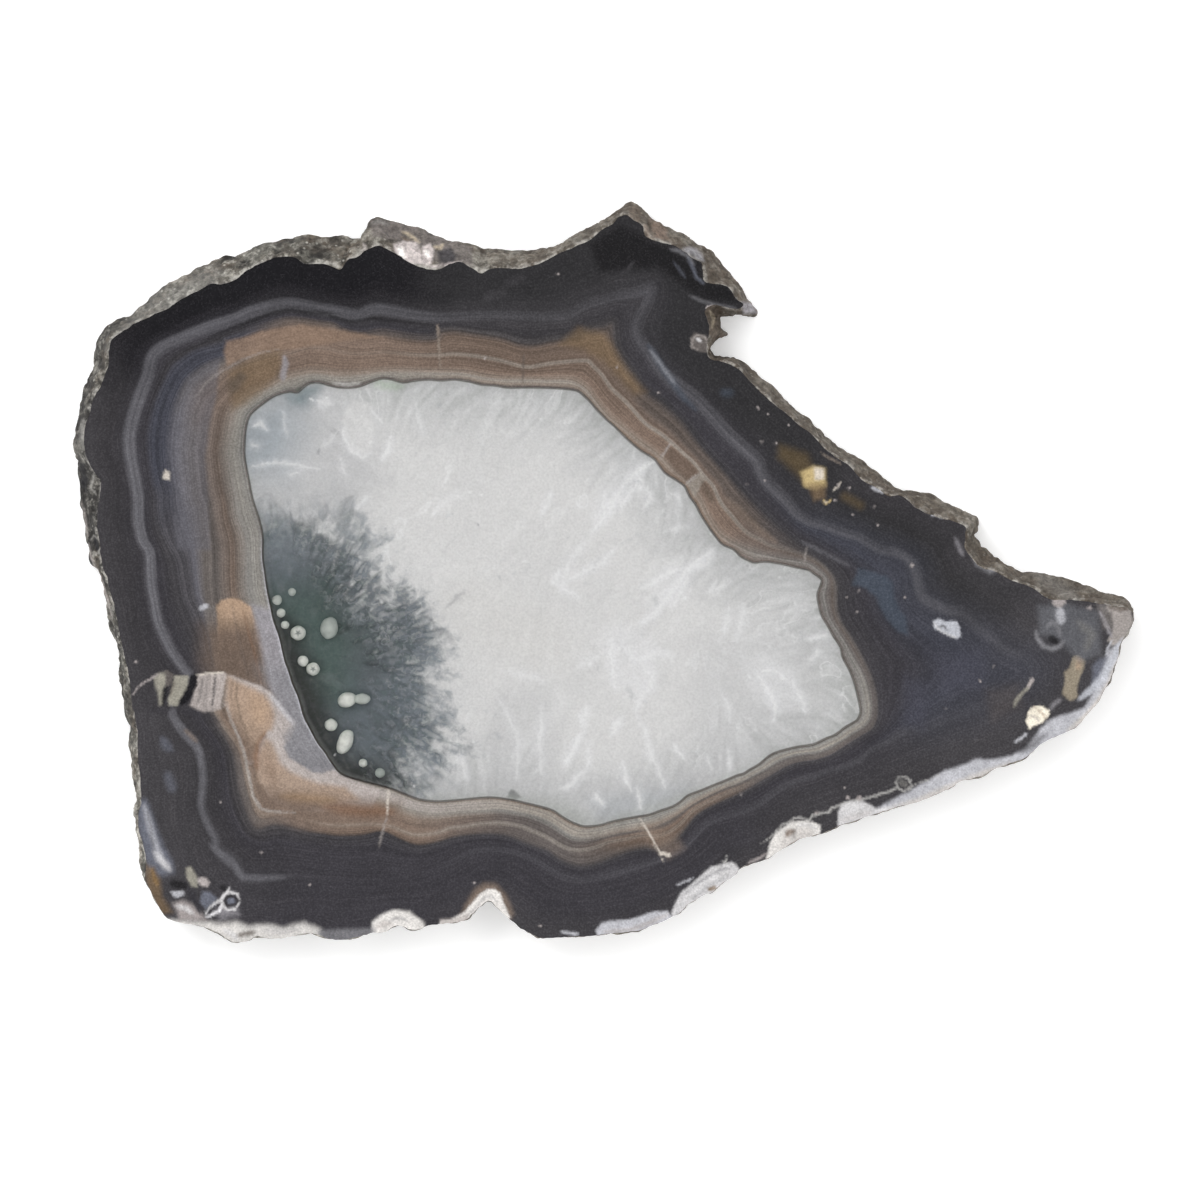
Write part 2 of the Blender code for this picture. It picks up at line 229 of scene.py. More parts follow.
# What crosses the bands on the face.
# Painted highlights: thin pale glints along the rim of the right slope, where its edge catches the light.
FACE_MARKS = marks("""
    # The upper left, where the brown band starts abruptly, and the dark sheet under the violet-grey line.
    hazel 0.8 5 0 227,341 224,352 227,366 245,358 275,351 310,346 350,340 385,338 340,330 300,325 262,331
        241,338
    bronze 0.65 12 0 229,372 243,362 262,353 280,350 283,372 262,392 246,404 232,410
    bark 0.75 9 0 227,382 240,371 247,376 240,390 230,396
    mauve 0.55 6 0 219,359 197,373 188,380 183,397 177,417 174,431 176,452 179,473 181,494 179,508 174,518
        174,529 177,550 211,550 210,536 208,494 205,459 209,424 217,396
    black 0.7 4 2 205,340 220,333 240,325 256,319 276,312 292,309 305,312 326,314 340,319 354,322 372,318
        396,321 436,326
    pale 0.45 2 1 196,398 203,386 214,376 228,368 244,359 262,352 280,349
    lilac 0.75 4 3 284,356 286,364 283,374 283,381
    bark 0.5 3 1.2 279,381 277,374 280,366
    # The slope at the upper right.
    plum 0.6 6 3 670,401 690,418 707,436 723,450 735,463 748,477 755,489 769,501
    steel 0.6 7 3 648,346 655,356 664,370 674,384 684,398 696,410
    mist 0.32 4 1.6 650,350 655,357 661,365 668,374 675,384
    bronze 0.7 12 0 578,328 604,334 612,344 624,366 646,392 634,394 604,362 584,350 560,344
    cocoa 0.8 3 0 663,455 672,448 686,458 699,472 686,481 674,470
    buff 0.75 3 0 686,482 700,472 706,478 700,488 694,498 690,490
    bark 0.7 9 3.5 702,482 708,492 713,501
    tan 0.6 8 3 728,499 738,509 750,521 762,532 776,542
    violet 0.6 4 2 801,541 822,552 836,559 850,566
    # Bluish and violet clouds in the right lobe.
    steel 0.75 6 0 859,568 872,572 887,576 893,583 894,597 901,611 907,620 908,635 898,632 887,620 881,609
        876,597 865,588 852,585
    indigo 0.55 22 0 928,652 984,650 984,690 940,690
    indigo 0.5 16 0 904,676 930,684 924,730 904,724
    violet 0.25 9 4 893,548 908,560 917,580 922,597 940,608 965,616 980,630 1000,645 1020,655
    umber 0.3 16 0 985,690 1018,684 1022,706 992,722
    # The ghost of a dome above the ledge at the left: lilac by the quartz, tan over brown beside it.
    dusk 0.6 3 0 202,607 214,606 220,640 226,674 216,674 208,640
    soot 0.5 30 0 948,580 1022,585 1008,622 958,625
    bark 0.8 2 0 519,390 530,392 538,395 546,391 540,397 528,396
    bark 0.75 2.5 0 524,799 540,801 549,807 536,806
    apricot 0.95 3 0 219,650 217,610 217,605 222,600 231,598 239,599.5 246,604 251,607 258,630 264,650
    pale 0.4 9 0 266,606 280,606 297,644 300,664 282,654 262,634
    cocoa 0.97 34 0 204,628 225,622 262,622 275,650 284,684 278,702 218,700 204,660
    russet 0.5 3 1.1 243,610 250,636 257,664 262,684
    umber 0.4 3 1.1 232,606 238,636 245,664 250,682
    lilac 0.92 9 0 252,605 262,607 276,612 300,670 345,770 312,775 292,760 286,748 292,730 283,708 271,690
        266,672 262,650 257,628
    ash 0.8 34 0 262,668 312,668 345,775 312,780 286,762 276,740 280,710
    graphite 0.4 2 1.1 203,612 209,640 214,672
    mist 0.9 2 2.2 201,608 207,606
    # The ledge, where the bands lie open in cross-section.
    peat 0.9 3 0 133,695 138,688 150,679 166,672 180,676 190,690 180,708 150,712 134,712
    sand 0.9 4 0 154,677 160,673 167,672 166,682 163,690 163,704 159,705 158,692 155,685
    drab 0.9 2 0 165,671 168,670 174,675 172,683 167,688 165,682
    jet 0.85 3 2.4 167,686 164,696 163,706
    sand 0.95 2 0 175,676 182,676 189,676 187,688 181,698 177,706 169,705 168,699 172,688
    bark 0.5 3 1.2 175,681 172,690 170,698
    blush 0.85 3 0 197,674 205,674 210,673 224,672 230,676 228,690 224,708 212,711 202,712 190,706 195,690
    jet 0.95 2 0 191,675 198,673 197,686 192,695 187,702 181,706 179,702 182,696 187,688
    dusk 0.75 3 1.5 203,676 201,690 198,704
    dusk 0.5 2 1 208,675 207,690 204,708
    shadow 0.8 1.6 1.1 216,673 214,690 212,708
    bark 0.8 2.5 1.4 228,675 225,690 222,706 228,722
    plum 0.6 8 3.5 150,711 172,710 188,711 206,716 222,722
    cream 0.8 1.5 1.1 197,674.5 210,673.5 224,672.5
    ivory 0.7 1.5 1 133,694 138,688 144,683 152,678 160,673
    blush 0.95 3 0 230,675 240,679 254,684 263,687 271,693 279,703 288,714 297,724 290,740 264,760 250,765
        240,745 232,722 226,708 228,690
    peach 0.95 8 0 228,676 240,682 254,689 264,694 271,703 275,716 272,730 262,756 248,760 238,740 230,716
        226,700
    frost 0.5 4 2.2 271,695 280,707 289,718 297,727
    ash 0.75 10 0 291,725 300,720 316,742 330,766 312,774 292,760 285,748 283,736
    chestnut 0.9 18 0 222,714 236,718 248,736 258,750 258,775 246,765 236,745
    tan 0.5 3 1.6 233,678 231,694 234,712 242,734
    bark 0.5 2.5 1.2 238,680 236,696 240,716 248,738
    apricot 0.7 14 0 250,694 262,698 268,710 266,722 256,726 250,712
    # The second lobe of the ledge, peach with a pale lip.
    blush 0.97 2.5 0 269,730 275,734 281,742 284,750 288,757 294,761 300,765 306,768 312,772.5 322,774 328,771
        334,769 340,775 352,780 380,790 372,810 300,812 270,800 260,780 256,758 259,742
    peach 0.85 8 0 266,738 272,742 276,752 281,764 290,771 302,777 318,783 345,787 360,800 300,812 270,800
        258,780 256,758
    russet 0.85 7 2.5 265,733 258,746 256,758 258,770
    hazel 0.6 14 0 262,748 270,756 278,772 276,786 264,774
    chestnut 0.9 20 0 258,788 290,792 330,797 372,800 400,804 400,822 300,826 258,810
    honey 0.45 12 4 282,796 310,798 335,800
    russet 0.75 12 5 325,807 360,811 392,812
    chalk 0.5 2.5 1.2 226,708 232,722 239,738 245,756 249,776 253,796 261,809 276,812 296,812
    mist 0.7 2 1.1 262,536 262,558 264,572 266,587 270,607 273,621 279,638 284,660 288,671 292,684 298,698
        303,716 309,728 317,743 324,752 331,763
    # The violet-grey line starts again below the ledge.
    violet 0.75 4 2 171,704 176,718 186,731 196,741 201,752 201,766
    tan 0.6 4 1.6 186,731 196,741
    # The pale margin of the right lobe, bluish inside and cream by the rind, with crystals and chips.
    mist 0.9 5 0 1108,653 1104,662 1099,680 1092,696 1084,708 1068,714 1057,717 1047,722 1040,729 1036,736
        1026,748 1012,756 990,760 975,759 968,763 958,767 944,771 934,777 920,785 906,793 890,801 876,810
        889,830 1000,800 1080,760 1130,700 1145,640 1120,640
    cream 0.7 6 3 1128,640 1119,660 1112,680 1100,700 1086,717 1068,731
    cream 0.55 6 3 1010,763 980,775 950,787 918,801 884,810
    charcoal 0.6 8 3.5 1046,734 1034,744 1020,752
    graphite 0.5 4 1.4 1094,668 1090,684 1088,700
    slate 0.75 6 0 1093,665 1098,660 1108,657 1105,668 1099,682 1092,684
    straw 0.9 3 0 1073,657 1079,655 1085,661 1084,668 1080,676 1077,686 1077,697 1070,701 1062,694 1065,683
        1064,672 1070,667
    apricot 0.6 5 2.5 1080,659 1078,667
    sand 0.85 3 1.6 1032,680 1028,688 1021,694 1016,701 1014,707
    ivory 0.8 2 2 1032,680 1029,686
    shell 0.95 1.8 0 1033,706 1040,706 1049,710 1049,716 1043,722 1035,726 1029,729 1026,722 1028,712
    apricot 0.55 2 1 1034,707 1041,712 1047,720
    ivory 0.6 2 1 1030,715 1036,718 1040,723
    mist 0.9 2 1.5 1027,733 1022,738 1014,743
    lilac 0.7 4 2 1061,699 1055,703 1050,710
    frost 0.85 2 0 933,620 938,619 946,622 957,621 960,628 961,636 957,639 948,636 940,632 934,628
    shadow 0.7 2 1.3 938,627 944,626 948,630
    white 0.7 1.5 1 934,621 939,630 948,635 957,638
    smoke 0.75 10 0 1038,606 1066,604 1098,612 1101,655 1080,662 1060,640 1040,634
    stone 0.5 8 4 1078,622 1092,634 1086,650
    ash 0.8 4 2.4 1036,630 1037,638 1043,646 1052,649 1060,646 1064,640
    black 0.8 4 3.5 1052,639 1055,641
    ash 0.7 4 2 1046,628 1052,622 1058,628 1060,636
    mist 0.75 5 4.5 1060,612 1061,620
    ivory 0.8 3 0 1052,593 1060,594 1066,602 1060,608 1053,605
    ash 0.8 3 2 1043,583 1048,588 1054,594
    pale 0.95 2.5 0 1106,606 1131,608 1133,622 1124,640 1112,646 1108,640 1114,628
    jet 0.8 2.5 0 1104,610 1112,612 1113,624 1108,632 1104,622
    lilac 0.85 2 1.8 1099,611 1106,624 1112,638
    bark 0.9 2 0 1108,603 1118,601 1129,610 1120,612 1108,609
    mist 0.85 2 1.3 1112,640 1108,648 1106,656
    # Golden crystals lodged near the rind.
    olive 0.55 12 0 780,445 808,454 812,466 806,484 790,468 778,458
    gold 0.85 6 0 801,472 814,466 825,469 826,486 816,490 804,486
    bronze 0.7 7 0 808,484 826,484 825,498 814,501
    cream 0.85 4 0 814,467 824,469 824,479 815,480
    olive 0.45 10 4 845,497 860,505
    gold 0.8 1.8 0.9 822,499 826,504 831,500
    cream 0.8 1.6 0.9 833,491 838,487 841,482
    # The thin white line and the pale lenses along the lower right margin.
    chalk 0.75 1.8 1.1 940,775 927,780 915,784 909,789 903,791 897,788 895,789 888,792 880,794 870,797 861,800
        852,801 845,803 838,806 832,808 829,812 822,813 819,815 812,815 810,820 800,818 794,818 790,822
        783,824 778,829 773,835 768,839 761,843
    chalk 0.8 1.6 0.9 898,789 896,783 899,778 905,777 910,780 911,786 907,790
    stone 0.7 3 3 902,783 905,784
    white 0.93 3 0 838,822 838,811 842,805 850,802 862,801 870,805 876,809 905,805 905,820 860,832 838,842
    blush 0.3 6 3 842,820 858,816 872,812
    snow 0.93 2.5 0 768,852 770,842 776,833 784,827 792,822 802,821 812,822 820,825 820,832 824,845 790,865
        762,872
    blush 0.35 6 0 778,846 786,834 800,828 812,830 816,840 790,860
    tan 0.85 4 3 786,836 789,832 795,831
    shadow 0.45 2.5 1.2 797,827 793,832 794,840
    white 0.7 3 1.4 798,825 808,825 817,828
    white 0.9 3 0 672,912 675,903 681,893 688,887 695,881 703,874 711,867 722,864 732,862 738,867 745,880
        700,915 672,930
    white 0.7 3 1.4 680,906 688,895 700,885 712,877 728,872
    ash 0.6 2.5 1.1 682,897 694,886 706,878 720,870 733,867
    ash 0.5 2.5 1.1 692,900 702,892 706,886 716,882 726,878
    bronze 0.85 2.5 2.2 710,889 714,888
    mist 0.8 1.6 1 677,886 682,882 689,880 694,878
    chalk 0.8 1.5 0.9 722,861 725,863 726,858 727,855
    mist 0.8 2 1.4 563,932 577,934
    mist 0.95 3 0 596,930 602,923 610,921 627,920 641,916 655,911 668,911 680,930 640,945 600,950
    blush 0.6 5 2 604,932 630,930 652,922 668,914
    ivory 0.7 2.5 1.2 747,864 756,860 768,853
    # The arch and the wave at the foot of the face.
    tan 0.75 8 0 458,920 466,904 474,890 484,883 496,884 506,895 514,914 500,930 470,935
    snow 0.95 2.5 0 440,921 452,919 464,912 473,902 480,894 487,889 494,889 500,893 503,902 510,917 500,930
        470,935 440,935
    ash 0.5 3 1.2 466,918 476,907 484,898 491,896 498,902
    blush 0.7 5 0 440,920 456,918 468,913 470,930 440,930
    snow 0.92 5 0 372,922 380,916 390,911 400,910 410,912 418,918 424,923 424,945 372,945
    ash 0.6 2.5 1.2 388,922 394,919 401,918 408,921
    blush 0.6 6 3 376,928 384,924 392,924
    snow 0.82 9 0 168,920 190,921 210,922 222,924 236,922 248,926 258,925 270,925 284,928 296,924 304,923
        320,929 320,950 160,950
    ash 0.7 6 0 318,930 345,929 374,928 378,940 318,945
    bark 0.75 4 2.4 237,936 245,934 255,932
    white 0.8 4 2 224,930 232,934 238,940
    lilac 0.4 5 2 262,930 280,932 300,930
    # The lower left corner: bluish and cream crystals, a small eye and a white squiggle.
    slate 0.8 9 0 138,800 146,799 152,815 157,830 164,847 172,862 174,872 162,876 148,872 144,850 138,829
    mist 0.7 7 2.6 144,806 150,826 156,846 164,864
    white 0.7 7 3.2 154,852 162,862 170,870
    graphite 0.45 3 1.1 147,812 152,832 153,850
    bronze 0.75 8 0 144,864 154,868 160,880 162,896 172,912 160,915 148,890
    ochre 0.6 4 2 152,870 157,884
    sand 0.9 3 0 186,868 191,867 196,874 198,882 197,888 192,886 187,878
    ivory 0.9 2.5 0 197,880 201,877 206,878 210,883 207,887 200,886
    black 0.8 4 4 174,884 184,886
    mist 0.9 1.8 0 171,892 176,891 183,890 184,894 178,898 173,896
    ivory 0.8 7 0 173,903 182,901 192,904 200,912 206,920 180,920
    white 0.7 4 2.4 176,906 186,908 194,914
    plum 0.9 3 0 186,884 192,890 198,898 202,910 200,915 195,907 189,897
    slate 0.85 3 0 202,892 210,892 217,898 215,905 206,909 200,902
    lilac 0.6 8 0 216,908 238,908 240,916 220,920
    white 0.9 1.8 1.2 240,901 237,894 230,892 223,896 222,903 227,910 235,909 240,901
    slate 0.9 2 2.8 230,901 232,901
    black 0.6 1.6 0.8 236,897 231,895 226,899 227,905 233,907
    white 0.85 1.8 1.1 206,918 206,912 213,904 221,900 226,894 230,886
    bright 0.9 1.8 1.4 207,917 213,914 219,911 222,904
    black 0.7 2 3 223,888 224,888
    violet 0.7 6 3 210,844 217,852 228,862 238,870 243,878 262,879 284,878
    # The horn at the upper right and the notch below it.
    black 0.85 12 0 590,244 622,226 650,240 674,250 700,260 703,280 728,284 742,303 706,302 688,290 660,268
        600,272
    ash 0.6 4 1.6 671,249 680,251 688,256 694,265
    slate 0.7 3 1.3 688,258 693,268 696,277 704,284
    slate 0.4 3 1.2 674,262 680,270 685,278
    ash 0.5 4 1.3 690,296 702,301 718,305 736,308
    ivory 0.9 2 2 706,308 712,307 718,308
    pale 0.8 2 1.3 706,349 712,354 717,359
    drab 0.9 2.5 0 690,338 696,333 706,336 712,345 718,358 710,353 700,352 692,349
    pale 0.7 2.5 1 707,343 704,337 698,335 692,339 692,347 698,350
    white 0.85 2 1.3 697,339 700,341
    steel 0.5 8 4 725,393 729,393
    fawn 0.7 2 1 821,453 829,458 841,464
    lilac 0.6 4 2 955,538 959,546 963,556
    ash 0.75 5 0 972,556 985,557 999,570 990,574 976,566
    mist 0.7 3 1.6 978,559 988,564 995,570
    mist 0.8 2 1.5 870,486 877,490 884,493
    mist 0.8 2 1.3 921,508 928,512
    mist 0.8 2 1.3 932,515 944,517
    # Healed cracks across the bands.
    fawn 0.85 1.5 1.1 437,324 438,330 439,354 441,369
    umber 0.7 1.5 1 524,353 523,365 523,383
    pale 0.7 2 1.2 672,441 666,450 660,460
    pale 0.7 2 1.2 699,474 692,479 685,484
    pale 0.6 2 1 807,546 805,556 804,566
    tan 0.5 12 0 638,826 652,824 676,836 684,848 668,858 652,846
    cream 0.75 1.5 1 639,818 647,830 653,840 660,853 663,861
    cream 0.8 1.5 2 661,853 669,855
    cream 0.8 1.5 1.1 389,787 388,800 387,815
    pale 0.6 2 0.9 387,815 383,830 379,848
    # Bluish and grey clouds in the dark outer bands.
    slate 0.55 8 4 162,738 166,746 172,750
    slate 0.5 9 4 168,776 172,788
    cream 0.8 2 0 162,478 166,470 170,472 170,480
    graphite 0.5 6 5 488,297 502,293
    graphite 0.4 6 4 509,283 522,278
    graphite 0.7 4 1.4 620,274 627,270 634,262
    # Chips and stains along the edge of the quartz.
    chalk 0.6 3 2 333,383 348,385 361,383
    green 0.5 4 3 376,383 397,385
    fern 0.6 4 0 296,388 309,387 308,398 297,401
    black 0.75 1.5 0 507,797 513,790 524,801
    black 0.75 1.5 0 535,802 543,803 549,808 545,810
    bark 0.8 1.5 0 518,391 524,390 537,395 538,397 530,397 520,392
    frost 0.75 4 3.5 1123,638 1113,660 1101,679 1089,692 1078,700
    pale 0.4 9 0 1098,604 1118,606 1130,618 1122,634 1104,628
""")
# Small pale flecks lodged in the dark bands, as pixels and radii.
FACE_FLECKS = pixels("""
    722,283,1.6 1089,608,2 849,488,1.2 852,514,1.2 877,525,1.2 859,591,1.2 846,597,1 856,612,1 905,597,1.2
    912,565,2.2 758,408,1.2 768,414,1.2 776,443,1.2 762,442,1 789,425,1.2 747,485,1 658,393,1.2 765,480,1
    945,709,1.2 980,681,1.2 994,666,1.2 844,788,1.2 741,794,1.2 728,781,1 485,358,1.2 558,274,1.2 617,367,1.2
    474,883,1.2 540,926,1.6 309,885,1.2 220,802,1.2 261,853,1.2 136,662,1.8 128,686,1.6 838,485,1.5
    874,507,1.2 826,503,1.3 835,500,1.4 859,798,2.6 848,797,2.2 816,813,2
""")
MARK_FRAY_PIXELS = 0.5
MARK_MOTTLE = 0.07


def on_stone(places):
    """Photo pixels as metres on the stone: less the slice's centre, times a pixel's size, y turned up."""
    return (np.asarray(places, float) - SLICE_CENTRE_PIXEL) * (PIXEL, -PIXEL)


def on_photo(points):
    """Points on the stone as photo pixels."""
    return points / (PIXEL, -PIXEL) + SLICE_CENTRE_PIXEL


def closed_spline(points, steps):
    """A closed Catmull-Rom curve through the points, with this many samples to each."""
    points = np.asarray(points, float)
    before, after, second = (np.roll(points, shift, axis=0)[:, None] for shift in (1, -1, -2))
    here = points[:, None]
    t = (np.arange(steps) / steps)[None, :, None]
    slope, curve = after - before, 2 * before - 5 * here + 4 * after - second
    line = 0.5 * (2 * here + slope * t + curve * t**2 + (3 * here - before - 3 * after + second) * t**3)
    return line.reshape(-1, points.shape[1])


def outward(line):
    """Unit normals of a clockwise outline, pointing away from the stone."""
    along = np.roll(line, -1, axis=0) - np.roll(line, 1, axis=0)
    normals = np.stack([-along[:, 1], along[:, 0]], axis=1)
    return normals / np.linalg.norm(normals, axis=1, keepdims=True)


def lattice_noise(points, size, seed):
    """Value noise from -1 to 1: random numbers at the corners of cells of this size, blended smoothly."""
    cell = np.asarray(points, float) / size
    corner = np.floor(cell).astype(np.int64)
    share = cell - corner
    share = share * share * (3 - 2 * share)
    primes = np.array((374761393, 668265263, 1103515245))[: cell.shape[1]]
    total = np.zeros(len(cell))
    for step in np.ndindex(*(2,) * cell.shape[1]):
        mixed = ((corner + step) * primes).sum(axis=1) + seed * 974634777
        mixed = ((mixed ^ (mixed >> 13)) * 1274126177) & 0x7FFFFFFF
        mixed = ((mixed ^ (mixed >> 15)) * 668265263) & 0x7FFFFFFF
        weight = np.where(np.array(step, bool), share, 1 - share).prod(axis=1)
        total += weight * ((mixed >> 7) % 20011 / 10005.0 - 1)
    return total


def relief(points, layers, seed):
    """Sum of noise layers, each with its own cell size and height."""
    return sum(height * lattice_noise(points, size, seed + k) for k, (size, height) in enumerate(layers))


def line_distance(line, places, closed):
    """Distance of each place from a line, and for a closed one whether the place is inside it, or for an
    open one how far along it is from its middle, from 0 to 1 at either end."""
    line = np.asarray(line, float)
    nearest, other = np.full(len(places), np.inf), np.zeros(len(places), bool if closed else float)
    ends = np.roll(line, -1, axis=0) if closed else line[1:]
    for k, ((x, y), (end_x, end_y)) in enumerate(zip(line, ends)):
        run, rise = end_x - x, end_y - y
        off_x, off_y = places[:, 0] - x, places[:, 1] - y
        share = np.clip((off_x * run + off_y * rise) / (run * run + rise * rise + 1e-18), 0, 1)
        square = (off_x - share * run) ** 2 + (off_y - share * rise) ** 2
        if closed and rise:
            other ^= ((y > places[:, 1]) != (end_y > places[:, 1])) & (off_x < run * off_y / rise)
        elif not closed:
            other = np.where(square < nearest, np.abs(2 * (k + share) / len(ends) - 1), other)
        np.minimum(nearest, square, out=nearest)
    return np.sqrt(nearest), other


def depth_inside(line, places):
    """Signed distance from a closed line, positive inside it."""
    distance, inside = line_distance(line, places, True)
    return np.where(inside, distance, -distance)


# Rows of a triangular lattice lie this share of its spacing apart, and its points are jittered by this share.
LATTICE_RISE = 0.866
LATTICE_JITTER = 0.2
# The outline needs only about this many points for a rough test of what lies inside it.
ROUGH_POINTS = 500


def filled(outer, inner, spacing, seed):
    """Points and triangles that fill the room inside one line and outside another: a jittered lattice of
    this spacing, with both lines kept as edges. The rim folds back on itself at the horn, where a grid of
    two parameters would cross itself, so the room is filled by triangulation."""
    rough_outer = outer[:: max(1, len(outer) // ROUGH_POINTS)]
    low, high = outer.min(axis=0), outer.max(axis=0)
    columns, rows = np.ceil((high - low) / (spacing, spacing * LATTICE_RISE)).astype(int) + 1
    across, up = np.meshgrid(np.arange(columns), np.arange(rows))
    grid = np.stack([(across + 0.5 * (up % 2)).ravel(), (LATTICE_RISE * up).ravel()], axis=1) * spacing + low
    grid += np.random.default_rng(seed).uniform(-LATTICE_JITTER, LATTICE_JITTER, grid.shape) * spacing
    grid = grid[depth_inside(rough_outer, grid) > 0.4 * spacing]
    if len(inner):
        grid = grid[depth_inside(inner, grid) < -0.5 * spacing]
    loops = [line for line in (outer, inner) if len(line)]
    edges, first = [], 0
    for line in loops:
        index = np.arange(len(line)) + first
        edges += np.stack([index, np.roll(index, -1)], axis=1).tolist()
        first += len(line)
    points = np.vstack(loops + [grid])
    points, _, triangles, *_ = delaunay_2d_cdt(points.tolist(), edges, [], 0, 1e-9)
    points, triangles = np.array([tuple(p) for p in points]), np.array(triangles)
    middles = points[triangles].mean(axis=1)
    rough = depth_inside(rough_outer, middles)
    kept = rough > spacing
    border = np.flatnonzero(np.abs(rough) <= spacing)
    kept[border] = depth_inside(outer, middles[border]) > 0
    if len(inner):
        kept &= depth_inside(inner, middles) < 0
    triangles = triangles[kept]
    corners = points[triangles]
    turn = np.cross(corners[:, 1] - corners[:, 0], corners[:, 2] - corners[:, 0])
    triangles[turn < 0] = triangles[turn < 0][:, ::-1]
    used = np.unique(triangles)
    renamed = np.zeros(len(points), int)
    renamed[used] = np.arange(len(used))
    return points[used], renamed[triangles]


def linear(code, alpha=1.0):
    """An sRGB hex colour as linear red, green, blue and alpha."""
    parts = [int(code[k : k + 2], 16) / 255 for k in (1, 3, 5)]
    return (*(c / 12.92 if c <= 0.04045 else ((c + 0.055) / 1.055) ** 2.4 for c in parts), alpha)


def face_paint(tone):
    return linear(TONES[tone])


# Cells of the noise that frays the marks' edges and of the noise that mottles their paint, in pixels.
FRAY_CELLS = (5.0, 2.3)
MOTTLE_CELLS = (7.0, 2.8)


def painted(places, marks, flecks, fleck_tone, fray_seed, tone_of, taper=4, under=0.0, swing=MARK_MOTTLE,
            wander=MARK_FRAY_PIXELS):
    """Premultiplied colours of the marks, one laid over the other, with their edges frayed by noise. Lines
    thin out towards their ends, more gently with a higher taper."""
    layer = np.zeros((len(places), 4)) + under
    broad, fine = FRAY_CELLS
    fray = np.stack([lattice_noise(places, broad, fray_seed + k)
                     + 0.6 * lattice_noise(places, fine, fray_seed + 5 + k) for k in range(2)], axis=1)
    frayed = places + wander * fray
    mottle = 1 + swing * sum(lattice_noise(places, cell, fray_seed + 9 + k)
                             for k, cell in enumerate(MOTTLE_CELLS))
    dots = [(fleck_tone, 0.8, 1.3, 0.8 * radius, ((x, y), (x + 0.3, y))) for x, y, radius in flecks]
    for tone, strength, soft, width, points in (*marks, *dots):
        reach = width + soft + 3 + wander
        near = np.flatnonzero(((frayed > np.min(points, axis=0) - reach)
                               & (frayed < np.max(points, axis=0) + reach)).all(axis=1))
        distance, other = line_distance(points, frayed[near], not width)
        thin = 1.0 if len(points) == 2 else 1 - 0.8 * other**taper
        depth = width * thin - distance if width else np.where(other, distance, -distance)
        cover = np.clip(0.5 + depth / soft, 0, 1)
        cover = (strength * cover * cover * (3 - 2 * cover))[:, None]
        paint = np.array(tone_of(tone)) * np.column_stack([mottle[near]] * 3 + [np.ones(len(near))])
        layer[near] = layer[near] * (1 - cover) + cover * paint
    return layer


def add(tree, kind, inputs=None, stops=(), **settings):
    """Adds a shader node with its settings, its inputs as values or links, and any colour stops."""
    made = tree.nodes.new("ShaderNode" + kind)
    for name, value in settings.items():
        setattr(made, name, value)
    for socket, value in (inputs or {}).items():
        if isinstance(value, bpy.types.NodeSocket):
            tree.links.new(value, made.inputs[socket])
        else:
            made.inputs[socket].default_value = value
    if stops:
        elements = made.color_ramp.elements
        elements.remove(elements[1])
        elements[0].position, elements[0].color = stops[0]
        for place, colour in stops[1:]:
            elements.new(place).color = colour
    return made.outputs


def overlaid(tree, colour, layers, paint, fade=None):
    """Lays tones over a colour, each growing to its strength as its value goes from a start to an end."""
    for value, start, end, tone, strength in layers:
        share = add(tree, "MapRange", {"Value": value, 1: start, 2: end, 4: strength})[0]
        if fade is not None:
            share = add(tree, "Math", {0: share, 1: fade}, operation="MULTIPLY")[0]
        colour = add(tree, "Mix", {0: share, 6: colour, 7: paint(tone)}, data_type="RGBA")[2]
    return colour


def stained(tree, colour):
    """Lays the piece's own marks over a colour."""
    stain = add(tree, "Attribute", attribute_name="stain")
    bare = add(tree, "Math", {0: 1.0, 1: stain["Alpha"]}, operation="SUBTRACT")[0]
    return add(tree, "VectorMath", {0: colour, 1: bare, 2: stain["Color"]}, operation="MULTIPLY_ADD")[0]


def new_material(name):
    """A material with only its output node, ready for its shader."""
    material = bpy.data.materials.new(name)
    material.use_nodes = True
    material.node_tree.nodes.clear()
    return material, material.node_tree, material.node_tree.nodes.new("ShaderNodeOutputMaterial")


def new_piece(name, points, faces, material, smooth=False, uv=None, **attributes):
    """A mesh piece that rides on the stone, with its material, its bake map and its named attributes."""
    mesh = bpy.data.meshes.new(name)
    mesh.from_pydata(points.tolist(), [], faces if isinstance(faces, list) else faces.tolist())
    mesh.materials.append(material)
    mesh.shade_smooth() if smooth else mesh.shade_flat()
    if uv is not None:
        mesh.uv_layers.new(name="OFBake").data.foreach_set("uv", np.asarray(uv, np.float32).ravel())
    for label, values in attributes.items():
        kind, key = {1: ("FLOAT", "value"), 3: ("FLOAT_VECTOR", "vector"), 4: ("FLOAT_COLOR", "color")}[
            1 if values.ndim == 1 else values.shape[1]
        ]
        layer = mesh.attributes.new(label, kind, "POINT")
        layer.data.foreach_set(key, values.astype(np.float32).ravel())
    piece = bpy.data.objects.new(name, mesh)
    bpy.context.scene.collection.objects.link(piece)
    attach(piece, "root")
    return piece


def flat_uv(points, faces):
    """Bake map of a flat piece: its corners seen straight from above, filling the square."""
    low, high = points[:, :2].min(axis=0), points[:, :2].max(axis=0)
    return (0.005 + 0.99 * (points[:, :2] - low) / (high - low).max())[faces].reshape(-1, 2)


